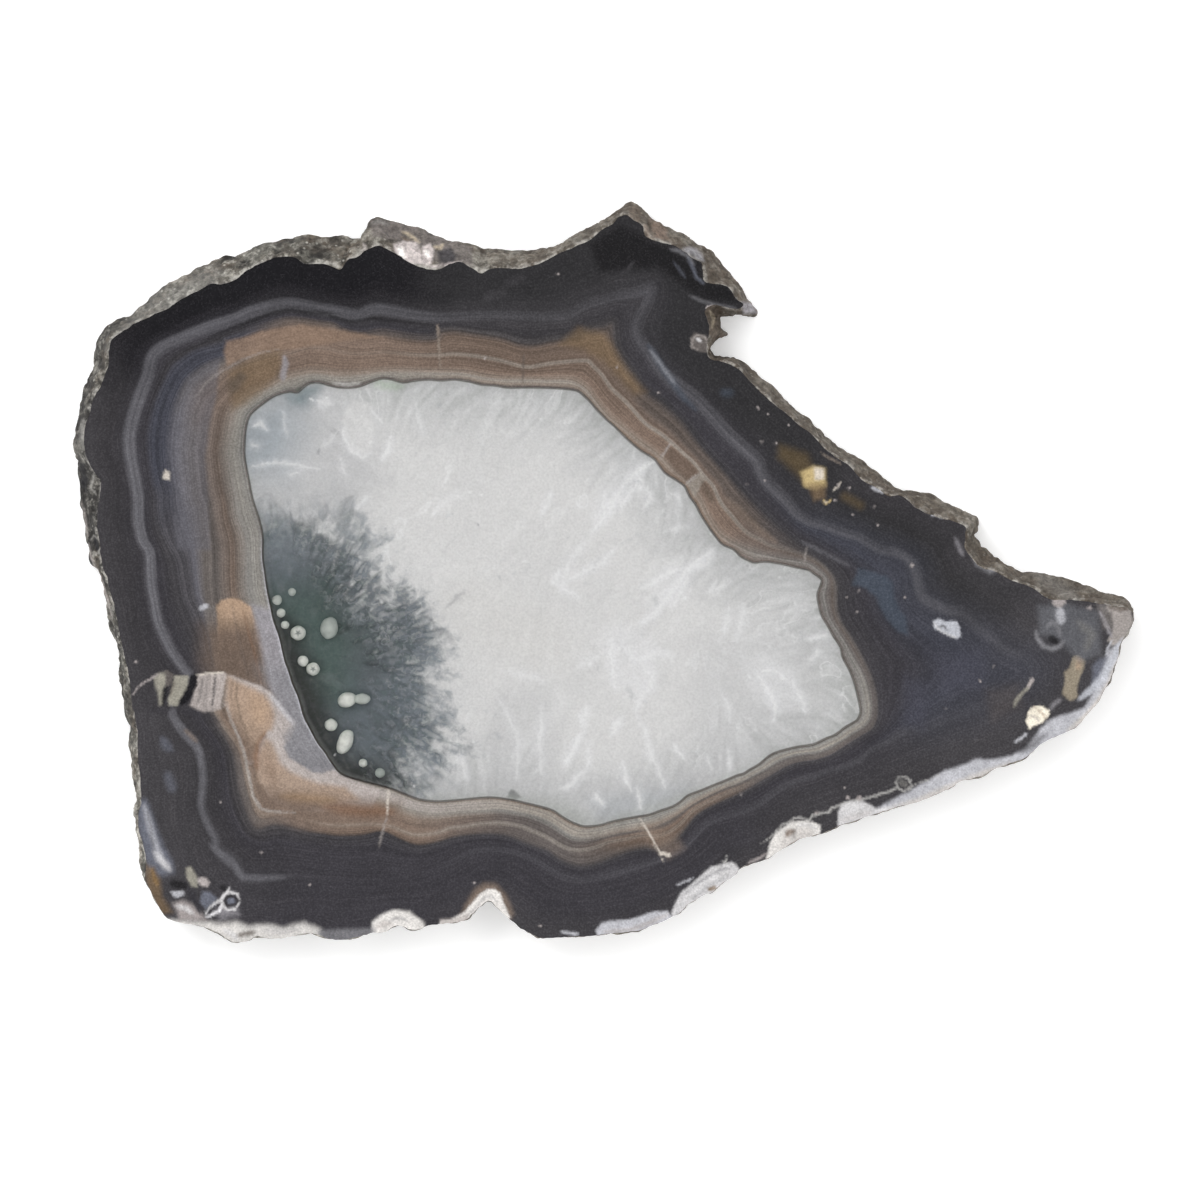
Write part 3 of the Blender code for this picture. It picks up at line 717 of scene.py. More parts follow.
flared = np.array(FLARED_EDGE_PIXELS, float)
undercut = np.array(UNDERCUT_EDGE_PIXELS, float)
from_end = np.minimum(np.arange(len(undercut)) + 1, len(undercut) - np.arange(len(undercut)))
lean = np.clip(from_end / UNDERCUT_RAMP_POINTS, 0, 1)[:, None] * np.array(UNDERCUT_SHIFT_PIXELS, float)
rim = on_stone(closed_spline(np.vstack([flared[:, 2:], undercut]), RIM_STEPS))
rim_fray = lattice_noise(rim, 0.9 * MM, 3) + 0.6 * lattice_noise(rim, 0.4 * MM, 4)
rim += RIM_FRAY * outward(rim) * rim_fray[:, None]
band_lines = [on_stone(closed_spline(line, 3)) for line in BAND_LINES.values()]
quartz_line = on_stone(closed_spline(BAND_LINES["quartz edge"], 5))

face_flat, face_triangles = filled(rim, quartz_line, FACE_SPACING, 21)
face_pixels = on_photo(face_flat)
depths = np.stack([depth_inside(line, face_flat) for line in (rim[::4], *band_lines)], axis=1) / MM
face_stain = painted(face_pixels, FACE_MARKS, FACE_FLECKS, "ivory", 31, face_paint)

# Polished chalcedony: smooth as glass over a very fine grain, coloured in depth. Its bands run along
# their lines, crossed by faint clouds, with laminae 0.5 mm wide that follow them.
band_material, tree, output = new_material("polished_chalcedony")
# The tones are as seen under the studio light, which is this much brighter than a plain white sky.
BAND_LIGHT = 1 / 1.25
# The parts of the slice melt into each other over this drift of their borders, and each counts by its
# distance in sixtieths of a metre to this power.
BAND_DRIFT = 16 * MM
BAND_REACH, BAND_FALL = 60.0, -4.0
# The violet-grey line's soft edge, from outside to inside, in millimetres.
LINE_EDGE = (-0.36, 0.42)
# Laminae are sheets of noise in cells of 1/26 m, with this many turns of it to a band, broad and fine.
LAMINA_SCALE = 26.0
LAMINA_TURNS = (0.34, 1.0)


def banded_colour(tree):
    """Colour of the bands: the place along them gives a tone for each part of the slice, and the nearer
    parts count for more. The violet-grey line lies over that, then the laminae and the marks."""
    where = add(tree, "TexCoord")["Object"]
    drift = add(tree, "TexNoise", {"Vector": where, "Scale": 90.0, "Detail": 3.0})[1]
    outer = add(tree, "SeparateXYZ", {0: add(tree, "Attribute", attribute_name="outer_bands")["Vector"]})
    inner = add(tree, "SeparateXYZ", {0: add(tree, "Attribute", attribute_name="inner_bands")["Vector"]})
    depth = [*outer, *inner]
    place = 0.0
    for here, following in zip(depth, depth[1:]):
        gap = add(tree, "Math", {0: here, 1: following}, operation="SUBTRACT")[0]
        share = add(tree, "Math", {0: here, 1: gap}, operation="DIVIDE", use_clamp=True)[0]
        place = add(tree, "Math", {0: share, 1: place}, operation="ADD")[0]
    ramp_place = add(tree, "Math", {0: place, 1: 1 / len(BAND_LINES)}, operation="MULTIPLY")[0]
    warped = add(tree, "VectorMath", {0: drift, 1: (BAND_DRIFT,) * 3, 2: where}, operation="MULTIPLY_ADD")[0]
    colour, line, total = (0.0, 0.0, 0.0), (0.0, 0.0, 0.0), 0.0
    for row in BAND_TONES.strip().splitlines():
        pixel, strength, half_width, thread, *tones = row.split()
        middle = (*(on_stone(pixels(pixel)[0]) + 0.5 * BAND_DRIFT), 0.5 * BAND_DRIFT)
        away = add(tree, "VectorMath", {0: warped, 1: middle}, operation="DISTANCE")["Value"]
        away = add(tree, "Math", {0: away, 1: BAND_REACH}, operation="MULTIPLY")[0]
        weight = add(tree, "Math", {0: away, 1: BAND_FALL}, operation="POWER")[0]
        stops = [(v / len(BAND_LINES), face_paint(tone)) for v, tone in zip(BAND_PLACES, tones)]
        ramp = add(tree, "ValToRGB", {0: ramp_place}, stops)[0]
        colour = add(tree, "VectorMath", {0: ramp, 1: weight, 2: colour}, operation="MULTIPLY_ADD")[0]
        line_here = (float(strength), float(half_width) * PIXEL / MM, float(thread))
        line = add(tree, "VectorMath", {0: line_here, 1: weight, 2: line}, operation="MULTIPLY_ADD")[0]
        total = add(tree, "Math", {0: weight, 1: total}, operation="ADD")[0]
    colour = add(tree, "VectorMath", {0: colour, 1: total}, operation="DIVIDE")[0]
    line = add(tree, "SeparateXYZ", {0: add(tree, "VectorMath", {0: line, 1: total}, operation="DIVIDE")[0]})

    off_line = add(tree, "Math", {0: outer[1]}, operation="ABSOLUTE")[0]
    into_line = add(tree, "Math", {0: line[1], 1: off_line}, operation="SUBTRACT")[0]
    line_share = add(tree, "MapRange", {"Value": into_line, 1: LINE_EDGE[0], 2: LINE_EDGE[1], 4: line[0]},
                     interpolation_type="SMOOTHSTEP")[0]
    line_depth = add(tree, "Math", {0: outer[1], 1: 0.055}, operation="MULTIPLY")[0]
    layers = add(tree, "TexNoise", {"Vector": where, "W": line_depth, "Scale": LAMINA_SCALE, "Detail": 2.0},
                 noise_dimensions="4D")[0]
    layers = add(tree, "MapRange", {"Value": layers, 1: 0.36, 2: 0.6, 3: 0.55, 4: 1.12})[0]
    line_share = add(tree, "Math", {0: line_share, 1: layers}, operation="MULTIPLY")[0]
    colour = add(tree, "Mix", {0: line_share, 6: colour, 7: face_paint("violet")}, data_type="RGBA")[2]
    off_thread = add(tree, "Math", {0: inner[0]}, operation="ABSOLUTE")[0]
    colour = overlaid(tree, colour, ((off_thread, 0.42, 0.1, "buff", line[2]),
                                     (inner[2], -0.16, -0.06, "umber", 0.75)), face_paint)

    sheets = []
    for turns in LAMINA_TURNS:
        along = add(tree, "Math", {0: place, 1: turns}, operation="MULTIPLY")[0]
        sheets.append(add(tree, "TexNoise", {"Vector": where, "W": along, "Scale": LAMINA_SCALE,
                                             "Detail": 2.0, "Roughness": 0.7}, noise_dimensions="4D")[0])
    thread = add(tree, "Math", {0: add(tree, "Math", {0: sheets[0], 1: 0.5}, operation="SUBTRACT")[0]},
                 operation="ABSOLUTE")[0]
    thread_share = add(tree, "MapRange", {"Value": thread, 1: 0.02, 2: 0.0, 4: 0.35})[0]
    lighter = add(tree, "VectorMath", {0: colour, 1: (1.7, 1.66, 1.62)}, operation="MULTIPLY")[0]
    colour = add(tree, "Mix", {0: thread_share, 6: colour, 7: lighter}, data_type="RGBA")[2]
    cloud = add(tree, "TexNoise", {"Vector": where, "Scale": 220.0, "Detail": 4.0, "Roughness": 0.6})[0]
    grain = add(tree, "TexNoise", {"Vector": where, "Scale": 3800.0, "Detail": 2.0, "Roughness": 0.6})[0]
    stain = add(tree, "Attribute", attribute_name="stain")
    banded = add(tree, "MapRange", {"Value": place, 1: 0.8, 2: 1.7, 3: 0.25, 4: 1.0})[0]
    lengthwise = add(tree, "SeparateXYZ", {0: where})[0]
    fade = add(tree, "MapRange", {"Value": lengthwise, 1: 0.034, 2: 0.048, 3: 1.0, 4: 0.35})[0]
    banded = add(tree, "Math", {0: banded, 1: fade}, operation="MULTIPLY")[0]
    banded = add(tree, "Math", {0: stain["Alpha"], 1: -0.7, 2: banded}, operation="MULTIPLY_ADD",
                 use_clamp=True)[0]
    light = BAND_LIGHT
    for noise, swing, share in ((sheets[0], 1.0, banded), (sheets[1], 1.1, banded), (cloud, 0.5, 1.0),
                                (grain, 1.0, 1.0)):
        off = add(tree, "Math", {0: noise, 1: 0.5}, operation="SUBTRACT")[0]
        off = add(tree, "Math", {0: off, 1: share}, operation="MULTIPLY")[0]
        lift = add(tree, "Math", {0: off, 1: swing, 2: 1.0}, operation="MULTIPLY_ADD")[0]
        light = add(tree, "Math", {0: lift, 1: light}, operation="MULTIPLY")[0]
    colour = add(tree, "VectorMath", {0: stained(tree, colour), 1: light}, operation="MULTIPLY")[0]
    dust = add(tree, "MapRange", {"Value": grain, 1: 0.5, 2: 0.8, 4: 0.012})[0]
    return add(tree, "VectorMath", {0: dust, 1: colour}, operation="ADD")[0]


shader = add(tree, "BsdfPrincipled", {"Base Color": banded_colour(tree), "Roughness": 0.16, "IOR": 1.54})[0]
tree.links.new(shader, output.inputs[0])
face_points = np.column_stack([face_flat, np.full(len(face_flat), THICKNESS)])
banded_face = new_piece("banded_face", face_points, face_triangles, band_material,
                        uv=flat_uv(face_flat, face_triangles), outer_bands=depths[:, :3],
                        inner_bands=depths[:, 3:], stain=face_stain)
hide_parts("agate_slice")

# The rind is the nodule's own skin, a wall of weathered, gritty chalcedony between the two sawn faces.
# Nobody worked it: it is lumpy, pitted and dull, and it flares out below the polished face on the upper
# and left sides, because the slab was sawn askew.
WALL_RINGS = 34
WALL_STRIPS = 8
FOOT_FRAY = 0.2 * MM
WALL_BULGE = 0.3 * MM
# Cell sizes and heights of the lumps, knobs, grains and grit of the skin.
SKIN_RELIEF = ((6.0 * MM, 0.28 * MM), (2.2 * MM, 0.34 * MM), (0.95 * MM, 0.26 * MM), (0.45 * MM, 0.14 * MM))
SKIN_DRAW = 0.6
# What marks the skin, in pixels as on the face: a crust with white and golden lumps, brown blotches on the
# horn, and the pits and pale rims of the left side, with one curved painted highlight among them.
# A painted highlight: a curved white glint on the left side's skin.
SKIN_MARKS = marks("""
    sage 0.35 16 0 104,350 140,300 215,262 225,276 160,318 120,360
    stone 0.35 12 8 1036,574 1060,588 1078,604
    drab 0.85 5 0 370,219 392,217 420,226 447,238 472,246 472,266 440,266 420,248 395,240 372,236
    stone 0.6 4 2 372,222 380,221 388,224
    straw 0.95 2.5 1.7 401,231 408,233 414,238 419,243
    bark 0.9 2.5 1.6 400,236 408,240 415,242
    ivory 0.95 4 0 394,244 403,241 417,242 420,250 426,264 410,264 400,260 395,252
    snow 0.9 4 2.6 399,246 401,253 405,259
    ivory 0.95 3 0 422,246 430,243 434,252 431,264 424,264
    snow 0.9 2.5 1.8 426,251 428,256
    charcoal 0.9 5 0 437,250 450,247 457,256 452,264 440,263
    straw 0.8 3 2 433,246 440,247 443,243
    ivory 0.7 2 1.3 428,266 440,267 452,264 462,261
    pale 0.7 3 1.6 363,243 366,248 362,251
    bark 0.85 4 0 629,206 636,205 642,213 639,223 630,218
    cocoa 0.8 6 0 650,218 665,223 669,240 654,238
    fawn 0.7 4 2 645,226 650,240
    ash 0.85 6 4 684,249 694,252 703,260
    lilac 0.8 5 0 742,302 752,303 757,312 744,314
    bark 0.7 5 0 704,305 722,306 722,330 728,336 716,343 706,330
    straw 0.85 2.5 1.5 709,310 714,318 712,328
    mist 0.85 2 1.3 93,409 96,416 93,423 88,427
    sage 0.7 5 3 83,420 82,436 84,450
    sage 0.9 2 1.2 85,454 89,463 96,471 92,481 90,488 96,494
    jet 0.9 4 0 79,462 85,463 88,478 86,492 80,488
    jet 0.9 2.5 2.4 95,541 97,548
    stone 0.85 1.8 1 90,540 93,536 99,539 102,546 98,553 92,556
    jet 0.85 3 2 88,556 91,563
    pale 0.7 3 1.3 88,543 90,556 95,568 101,582 107,600 112,618
    pale 0.5 3 1.2 80,500 84,518 87,536
""")


def rind_surface():
    """Wall point (u, v): u along the outline, v from foot to rim, straight between the two lines, then
    pushed outwards by a bulge and by the skin's relief, both of which vanish at the foot and the rim."""
    share = np.linspace(0, 1, WALL_RINGS)[:, None, None]
    flat = share * rim[None] + (1 - share) * foot[None]
    place = np.concatenate([flat, np.broadcast_to(share * THICKNESS, flat.shape[:2] + (1,))], axis=2)
    lumps = relief(place.reshape(-1, 3) * (1.0, 1.0, SKIN_DRAW), SKIN_RELIEF, 11).reshape(flat.shape[:2])
    push = (4 * share * (1 - share))[:, :, 0] ** 0.35 * (WALL_BULGE + lumps)
    place[:, :, :2] += push[:, :, None] * outward(0.5 * (rim + foot))[None]
    return place, lumps


def wall_faces(rings, count):
    """Quads between neighbouring rings, closed round the outline, and their corners on the bake map, where
    the wall is cut into equal strips that lie one above the other."""
    ring, column = (part.ravel() for part in np.indices((rings - 1, count)))
    following = (column + 1) % count
    faces = np.stack([ring * count + following, ring * count + column,
                      (ring + 1) * count + column, (ring + 1) * count + following], axis=1)
    per_strip = count // WALL_STRIPS
    strip = column // per_strip
    left, right = (column - strip * per_strip) / per_strip, (column - strip * per_strip + 1) / per_strip
    low, high = ((strip + 0.05 + 0.9 * (ring + k) / (rings - 1)) / WALL_STRIPS for k in (0, 1))
    corners = [(right, low), (left, low), (left, high), (right, high)]
    return faces, np.stack([np.stack(pair, axis=1) for pair in corners], axis=1).reshape(-1, 2)


foot = on_stone(closed_spline(np.vstack([flared[:, :2], undercut + lean]), RIM_STEPS))
foot_fray = lattice_noise(foot, 1.5 * MM, 5) + 0.5 * lattice_noise(foot, 0.6 * MM, 6)
foot += FOOT_FRAY * foot_fray[:, None] * outward(foot)
rind_points, rind_lumps = rind_surface()
rind_quads, rind_uv = wall_faces(WALL_RINGS, len(rim))
skin_pixels = on_photo(rind_points[:, :, :2].reshape(-1, 2))
skin_stain = painted(skin_pixels, SKIN_MARKS, (), "snow", 71, face_paint)
rind_rise = np.repeat(np.linspace(0, 1, WALL_RINGS), len(rim))

# Weathered chalcedony skin, left as it grew: dull grey-brown grit with paler grains. Its grains are 0.5 mm, so
# it has a sandy tooth that breaks up the light. Painted shade darkens its pits, and painted highlights lie on
# its raised lumps, on small specks and in patches along the top of the wall by the rim.
rind_material, tree, output = new_material("weathered_rind")
where = add(tree, "TexCoord")["Object"]
drawn = add(tree, "VectorMath", {0: where, 1: (1.0, 1.0, 0.55)}, operation="MULTIPLY")[0]
height = add(tree, "Attribute", attribute_name="height")["Fac"]
patches = add(tree, "TexNoise", {"Vector": where, "Scale": 160.0, "Detail": 3.0, "Roughness": 0.6})[0]
lumps = add(tree, "TexNoise", {"Vector": drawn, "Scale": 620.0, "Detail": 4.0, "Roughness": 0.7})[0]
grains = add(tree, "TexNoise", {"Vector": drawn, "Scale": 1500.0, "Detail": 3.0, "Roughness": 0.7})[0]
# Small pale specks at the centres of cells, painted as glints of the grit.
glint_specks = add(tree, "TexVoronoi", {"Vector": drawn, "Scale": 800.0})[0]
side = add(tree, "SeparateXYZ", {0: where})[0]
side = add(tree, "Math", {0: patches, 1: 0.02, 2: side}, operation="MULTIPLY_ADD")[0]
# A patchy painted highlight on the top of the wall, where it meets the rim.
rise = add(tree, "Attribute", attribute_name="rise")["Fac"]
rise = add(tree, "MapRange", {"Value": rise, 1: 0.88, 2: 1.0})[0]
rim_highlight = add(tree, "Math", {0: rise, 1: add(tree, "MapRange", {"Value": lumps, 1: 0.46, 2: 0.56})[0]},
              operation="MULTIPLY")[0]
base = overlaid(tree, linear("#595751"), (
    (patches, 0.42, 0.62, "#554d44", 1.0),
    (side, -0.056, -0.063, "#2b2928", 0.9),
    # Painted highlight where the skin's relief rises.
    (height, 0.1, 0.6, "#a3a097", 0.6),
    (lumps, 0.52, 0.62, "#a3a098", 0.55),
    (lumps, 0.47, 0.38, "#2a2826", 0.85),
    # Painted shade in the skin's pits, where its relief sinks.
    (height, -0.05, -0.45, "#201e1c", 0.9),
    # Painted glints at the specks.
    (glint_specks, 0.2, 0.05, "#cbc8c0", 0.5),
    (side, -0.035, 0.012, "#544b42", 0.6),
    (side, -0.058, -0.064, "#2b2928", 0.45),
    # The painted highlight along the rim.
    (rim_highlight, 0.0, 1.0, "#aeaba6", 0.5),
), linear)
light = add(tree, "MapRange", {"Value": grains, 1: 0.35, 2: 0.65, 3: 0.62, 4: 1.38})[0]
base = add(tree, "VectorMath", {0: stained(tree, base), 1: light}, operation="MULTIPLY")[0]
bump = add(tree, "Bump", {"Height": grains, "Strength": 0.7, "Distance": 0.16 * MM})[0]
shader = add(tree, "BsdfPrincipled", {"Base Color": base, "Roughness": 0.85, "IOR": 1.54, "Normal": bump,
                                      "Specular IOR Level": 0.2})[0]
tree.links.new(shader, output.inputs[0])

rind = new_piece("rind", rind_points.reshape(-1, 3), rind_quads, rind_material, smooth=True, uv=rind_uv,
                 height=(rind_lumps / (0.9 * MM)).ravel(), rise=rind_rise, stain=skin_stain)
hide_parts("agate_slice")

# The heart is quartz that filled the last room in the nodule. It is clear at the polished face and milky
# below, with feathery white growth that points inwards, and a smoky clear window at the lower left.
HEART_SPACING = 0.215 * MM
HEART_DEPTH = 0.55 * MM
WINDOW_DEPTH = 1.8 * MM
HEART_SHELF = 0.32 * MM
HEART_RELIEF = ((3.0 * MM, 0.22 * MM), (1.2 * MM, 0.10 * MM))
HEART_SPINE_PIXELS = ((400, 500), (560, 600), (700, 650))
# Widths and lengths of the wisps and feathers in the milky part and of the flames in the window.
WISP_SIZE, FEATHER_SIZE, FLAME_SIZE = (1.9 * MM, 8.0 * MM), (0.6 * MM, 3.2 * MM), (0.8 * MM, 2.4 * MM)
STREAK_STEPS = 9
HEADING_SWING = 0.7
HEADING_RELIEF = ((9 * MM, 1.0), (3 * MM, 0.4))
VEIL_WANDER_PIXELS = 1.4
WINDOW_MIDDLE_PIXEL = (290, 665)
# The smoky window's edge, and how far into and out of it the smoke thickens and thins.
WINDOW_PIXELS = pixels("""
    150,500 250,492 275,490 300,482 330,486 352,503 372,523 388,548 402,572 410,592 426,615 442,645 450,680
    450,715 446,745 438,765 424,785 410,812 404,900 150,900
""")
SMOKE_IN_PIXELS, SMOKE_OUT_PIXELS = 115, 50
# Cell sizes and swings of the clouds in the smoke, and how far the flames swing it.
SMOKE_CLOUDS = ((4.5 * MM, 0.16), (2.0 * MM, 0.10), (0.9 * MM, 0.08))
SMOKE_FLAMES = 0.09
# The window is clear from this much smoke on, over this much more.
WINDOW_FROM, WINDOW_OVER = 0.6, 0.5
# Patches of thinner smoke outside the window, and a thinner patch in its upper part: pixel, reach, strength.
HAZE_PIXELS = ((258, 418, 40, 0.4), (300, 392, 24, 0.42), (444, 748, 46, 0.56), (436, 788, 46, 0.62))
THIN_PIXELS = ((352, 566, 44, 0.22),)
QUARTZ_TONES = dict(
    milk="#cdcccb", smoke="#4e5459", slate="#656b70", night="#2c2d2c", pine="#3b4844", haze="#848b91",
    feather="#e2e2e5", snow="#f4f4f6", grey="#a6a7a8", shade="#9a9d99", rim="#433e3a", leaf="#7f9278",
    speck="#55565a", fern="#3f5049", warm="#c8c6c3", pearl="#aeaeaf", dusk="#5f6b70",
)
# What colours the smoky quartz, then the feathers, wisps and specks in the whole heart, in pixels.
SMOKE_MARKS = marks("""
    slate 0.8 50 0 230,480 300,470 400,490 430,560 400,575 320,560 240,560
    haze 0.9 40 0 230,370 310,370 310,450 262,490 230,470
    pine 0.85 50 0 262,590 330,580 360,640 350,700 310,720 285,680
    night 0.97 34 0 262,610 296,626 322,690 345,752 415,782 410,815 330,800 290,740 270,680
    night 0.3 36 0 296,500 345,520 396,590 410,650 370,690 330,620 300,560
    fern 0.5 8 0 292,385 310,385 310,396 299,402
""")
HEART_MARKS = marks("""
    # Greyer and bluish parts near the edge, then broad pale clouds.
    pearl 0.9 50 0 240,380 340,380 372,430 384,480 340,520 240,510
    haze 0.55 40 0 240,380 300,390 310,430 290,480 240,480
    haze 0.75 20 0 248,420 282,412 286,440 270,462 250,464
    dusk 0.75 16 0 284,392 296,384 322,384 318,394 304,408 292,404
    pearl 0.8 34 0 430,776 500,778 556,786 600,776 680,772 760,748 740,800 600,850 430,850
    pearl 0.45 50 0 700,640 760,620 810,640 815,700 790,750 710,780 690,700
    night 0.85 3 0 506,797 511,789 517,791 522,797 515,800
    shade 0.8 22 10 430,800 480,802 530,806 562,812 600,832 630,832
    haze 0.35 24 0 590,800 640,790 690,786 660,826 610,840
    haze 0.9 14 7 245,404 246,430 250,470
    shade 0.5 18 0 600,822 640,808 700,790 720,800 620,840
    pearl 0.5 26 0 672,470 700,500 730,556 700,540 668,500
    pearl 0.45 30 0 500,690 545,680 560,740 540,790 490,790 480,740
    pearl 0.4 30 0 690,500 760,560 820,575 800,610 730,580
    feather 0.4 18 0 590,520 600,490 625,468 644,458 640,476 628,495 610,515
    feather 0.4 18 0 598,640 612,622 640,628 662,650 655,690 630,700 612,684
    feather 0.35 16 0 640,600 670,575 700,552 716,548 712,566 680,592 655,615
    feather 0.35 16 0 738,660 765,655 795,675 800,705 775,715 750,695
    milk 0.8 6 0 342,420 352,400 372,404 376,430 370,452 358,456 346,444
    warm 0.6 50 30 470,610 540,640
    shade 0.5 10 3 826,733 845,720 855,705 851,690 840,664
    shade 0.5 8 2 690,502 716,545 760,566 810,576
    shade 0.4 8 2 610,820 660,806 720,780 790,744
    shade 0.5 8 3 248,470 251,500 256,524
    grey 0.7 4 2.5 655,598 657,606
    grey 0.6 4 2.5 628,690 632,696
    leaf 0.5 8 4 377,383 398,386
    speck 0.5 2 1 317,451 318,453
    speck 0.3 3 1.5 333,431 338,433
    speck 0.7 2 0.9 476,524 478,526
    speck 0.55 2.5 1.4 418,616 427,616 433,622 434,630
    speck 0.4 4 1.6 446,608 456,598 466,590
    speck 0.3 6 3 440,628 452,640
""")
# White veils, where crystals meet, listed as strength, half width and points. Each is a crisp line over a
# wide faint one: tone, share of the strength, softness, share of the half width.
VEIL_LINES = (("feather", 0.65, 9, 2.2), ("snow", 1.05, 2.4, 0.75))
HEART_VEILS = listed("""
    veil 0.7 2.4 252,425 262,424 267,429
    veil 0.55 2 252,445 258,446
    veil 0.6 1.6 250,467 262,464 282,462 300,466 320,470
    veil 0.6 1.4 290,475 299,473
    veil 0.4 1.6 283,410 284,424 288,438
    veil 0.8 1.8 343,426 345,440 352,451 363,457 370,452
    veil 0.9 2 391,436 388,449 381,461
    veil 0.5 2 370,409 377,417 383,424
    veil 0.6 1.4 367,497 357,507
    veil 0.5 1.6 341,460 345,473
    veil 0.5 1.4 336,432 330,442 322,448
    veil 0.7 3 316,400 324,402 331,404
    veil 0.4 3 414,398 418,420 424,436
    veil 0.4 3 432,512 446,500 466,494
    veil 0.8 2 540,516 547,502 552,490
    veil 0.85 2.2 555,584 557,576 558,570
    veil 0.9 1.8 556,583 566,590 580,598
    veil 0.85 2.2 562,583 576,576 590,569 604,561 615,547
    veil 0.95 2.6 656,461 644,467 634,474 624,485
    veil 0.8 3.4 624,485 614,500 604,516 592,532
    veil 0.85 1.6 637,484 628,496 621,508
    veil 0.6 2 606,492 604,504 605,516
    veil 0.6 2.4 648,486 650,498 646,508
    veil 0.5 3 586,540 570,560 560,590
    veil 0.5 1.6 670,492 678,496 682,506
    veil 0.9 2.4 714,551 700,559 687,570 678,584 666,600 652,614 640,624
    veil 0.8 1.8 714,553 707,563 694,568
    veil 0.8 2.2 682,568 666,573 652,583 640,589
    veil 0.6 2.6 690,572 684,590 672,608
    veil 0.6 1.8 716,580 712,590 708,594
    veil 0.5 2.6 728,606 728,618 724,632
    veil 0.5 3 744,604 742,622 736,640
    veil 0.4 2 664,532 676,528 686,526
    veil 0.9 2 612,641 611,655 614,674 616,690
    veil 0.85 2 622,644 632,655 644,667 650,676
    veil 0.8 2.2 640,661 652,654 664,652
    veil 0.7 1.8 664,652 670,656 671,662
    veil 0.75 2.6 654,672 650,686 640,698 636,712
    veil 0.6 1.6 636,679 644,688
    veil 0.5 2.6 578,668 588,660 600,656
    veil 0.8 2.2 588,705 583,716 583,732
    veil 0.95 2.4 583,732 573,750 563,767
    veil 0.9 2.4 623,717 616,726 612,737
    veil 0.75 2 638,716 646,734 650,754 658,768 666,788
    veil 0.8 1.6 588,744 589,766
    veil 0.6 2.6 588,768 573,784 558,792
    veil 0.9 2 623,762 626,778 631,790
    veil 0.7 1.6 638,790 641,808
    veil 0.7 2 596,796 603,804
    veil 0.7 1.5 672,742 678,752 686,760
    veil 0.6 1.5 708,757 712,769
    veil 0.7 1.6 728,750 730,766
    veil 0.5 2.6 542,706 540,740 542,774
    veil 0.45 2.6 500,700 518,740 516,780
    veil 0.5 2.4 505,670 530,676 545,682
    veil 0.5 2.4 640,628 650,618 661,609
    veil 0.9 2.4 756,674 768,690 776,706 773,722
    veil 0.85 1.8 762,672 776,670 787,680
    veil 0.95 1.8 791,682 800,696 806,712
    veil 0.7 2 810,640 826,636
    veil 0.6 2 818,652 810,660
    veil 0.7 2.2 462,760 466,776
    veil 0.5 2 720,690 728,706 730,722
""")
HEART_FLECKS = pixels("""
    370,442,2 362,416,1.6 470,493,1.8 481,494,1.6 556,580,2.2 795,603,2 778,577,1.8 415,787,1.6 335,755,1.4
    620,500,2.6 640,488,2.6 525,562,2.2 553,582,2.2 326,398,2.2 311,400,1.8 540,420,1.6 590,665,3 618,648,2.4
    782,678,2.4 750,676,2.4 766,792,1.6 712,534,1.6 640,480,1.6 474,742,1.6
""")


def under_quartz(code):
    """The paint that shows as this colour below clear quartz, which keeps part of the light inside it."""
    return (*(min(0.985, shown / (0.335 + 0.6 * shown)) for shown in linear(code)[:3]), 1.0)


def heart_paint(tone):
    return under_quartz(QUARTZ_TONES[tone])


def streaks(places, heading, size, seed):
    """Noise drawn out along the heading: the mean of one pattern at steps over the length, scaled so that
    its values spread evenly about 0."""
    width, length = size
    drawn = sum(relief(places + step * length * heading, ((width, 1.0), (0.5 * width, 0.6)), seed)
                for step in np.linspace(-0.5, 0.5, STREAK_STEPS))
    return drawn / drawn.std()


heart_flat, heart_triangles = filled(quartz_line, (), HEART_SPACING, 41)
heart_pixels = on_photo(heart_flat)
heart_edge, _ = line_distance(quartz_line[::2], heart_flat, True)
smoke = depth_inside(WINDOW_PIXELS, heart_pixels)
smoke = 0.5 + np.where(smoke > 0, smoke / SMOKE_IN_PIXELS, smoke / SMOKE_OUT_PIXELS)
for x, y, width, strength in HAZE_PIXELS:
    blob = strength * np.exp(-(((heart_pixels - (x, y)) / width) ** 2).sum(axis=1))
    smoke = np.maximum(smoke, blob)
for x, y, width, strength in THIN_PIXELS:
    smoke -= strength * np.exp(-(((heart_pixels - (x, y)) / width) ** 2).sum(axis=1))
from_middle = heart_flat - on_stone(WINDOW_MIDDLE_PIXEL)
flames = streaks(heart_flat, from_middle / np.linalg.norm(from_middle, axis=1, keepdims=True), FLAME_SIZE, 81)
smoke += SMOKE_FLAMES * flames + relief(heart_flat, SMOKE_CLOUDS, 84)
smoke = np.clip(smoke, 0, 1.2)
window = np.clip((smoke - WINDOW_FROM) / WINDOW_OVER, 0, 1)
heart_depth = HEART_DEPTH + relief(heart_flat, HEART_RELIEF, 51) + (WINDOW_DEPTH - HEART_DEPTH) * window
heart_depth = 0.004 * MM + heart_depth * np.clip(heart_edge / HEART_SHELF, 0, 1) ** 0.7

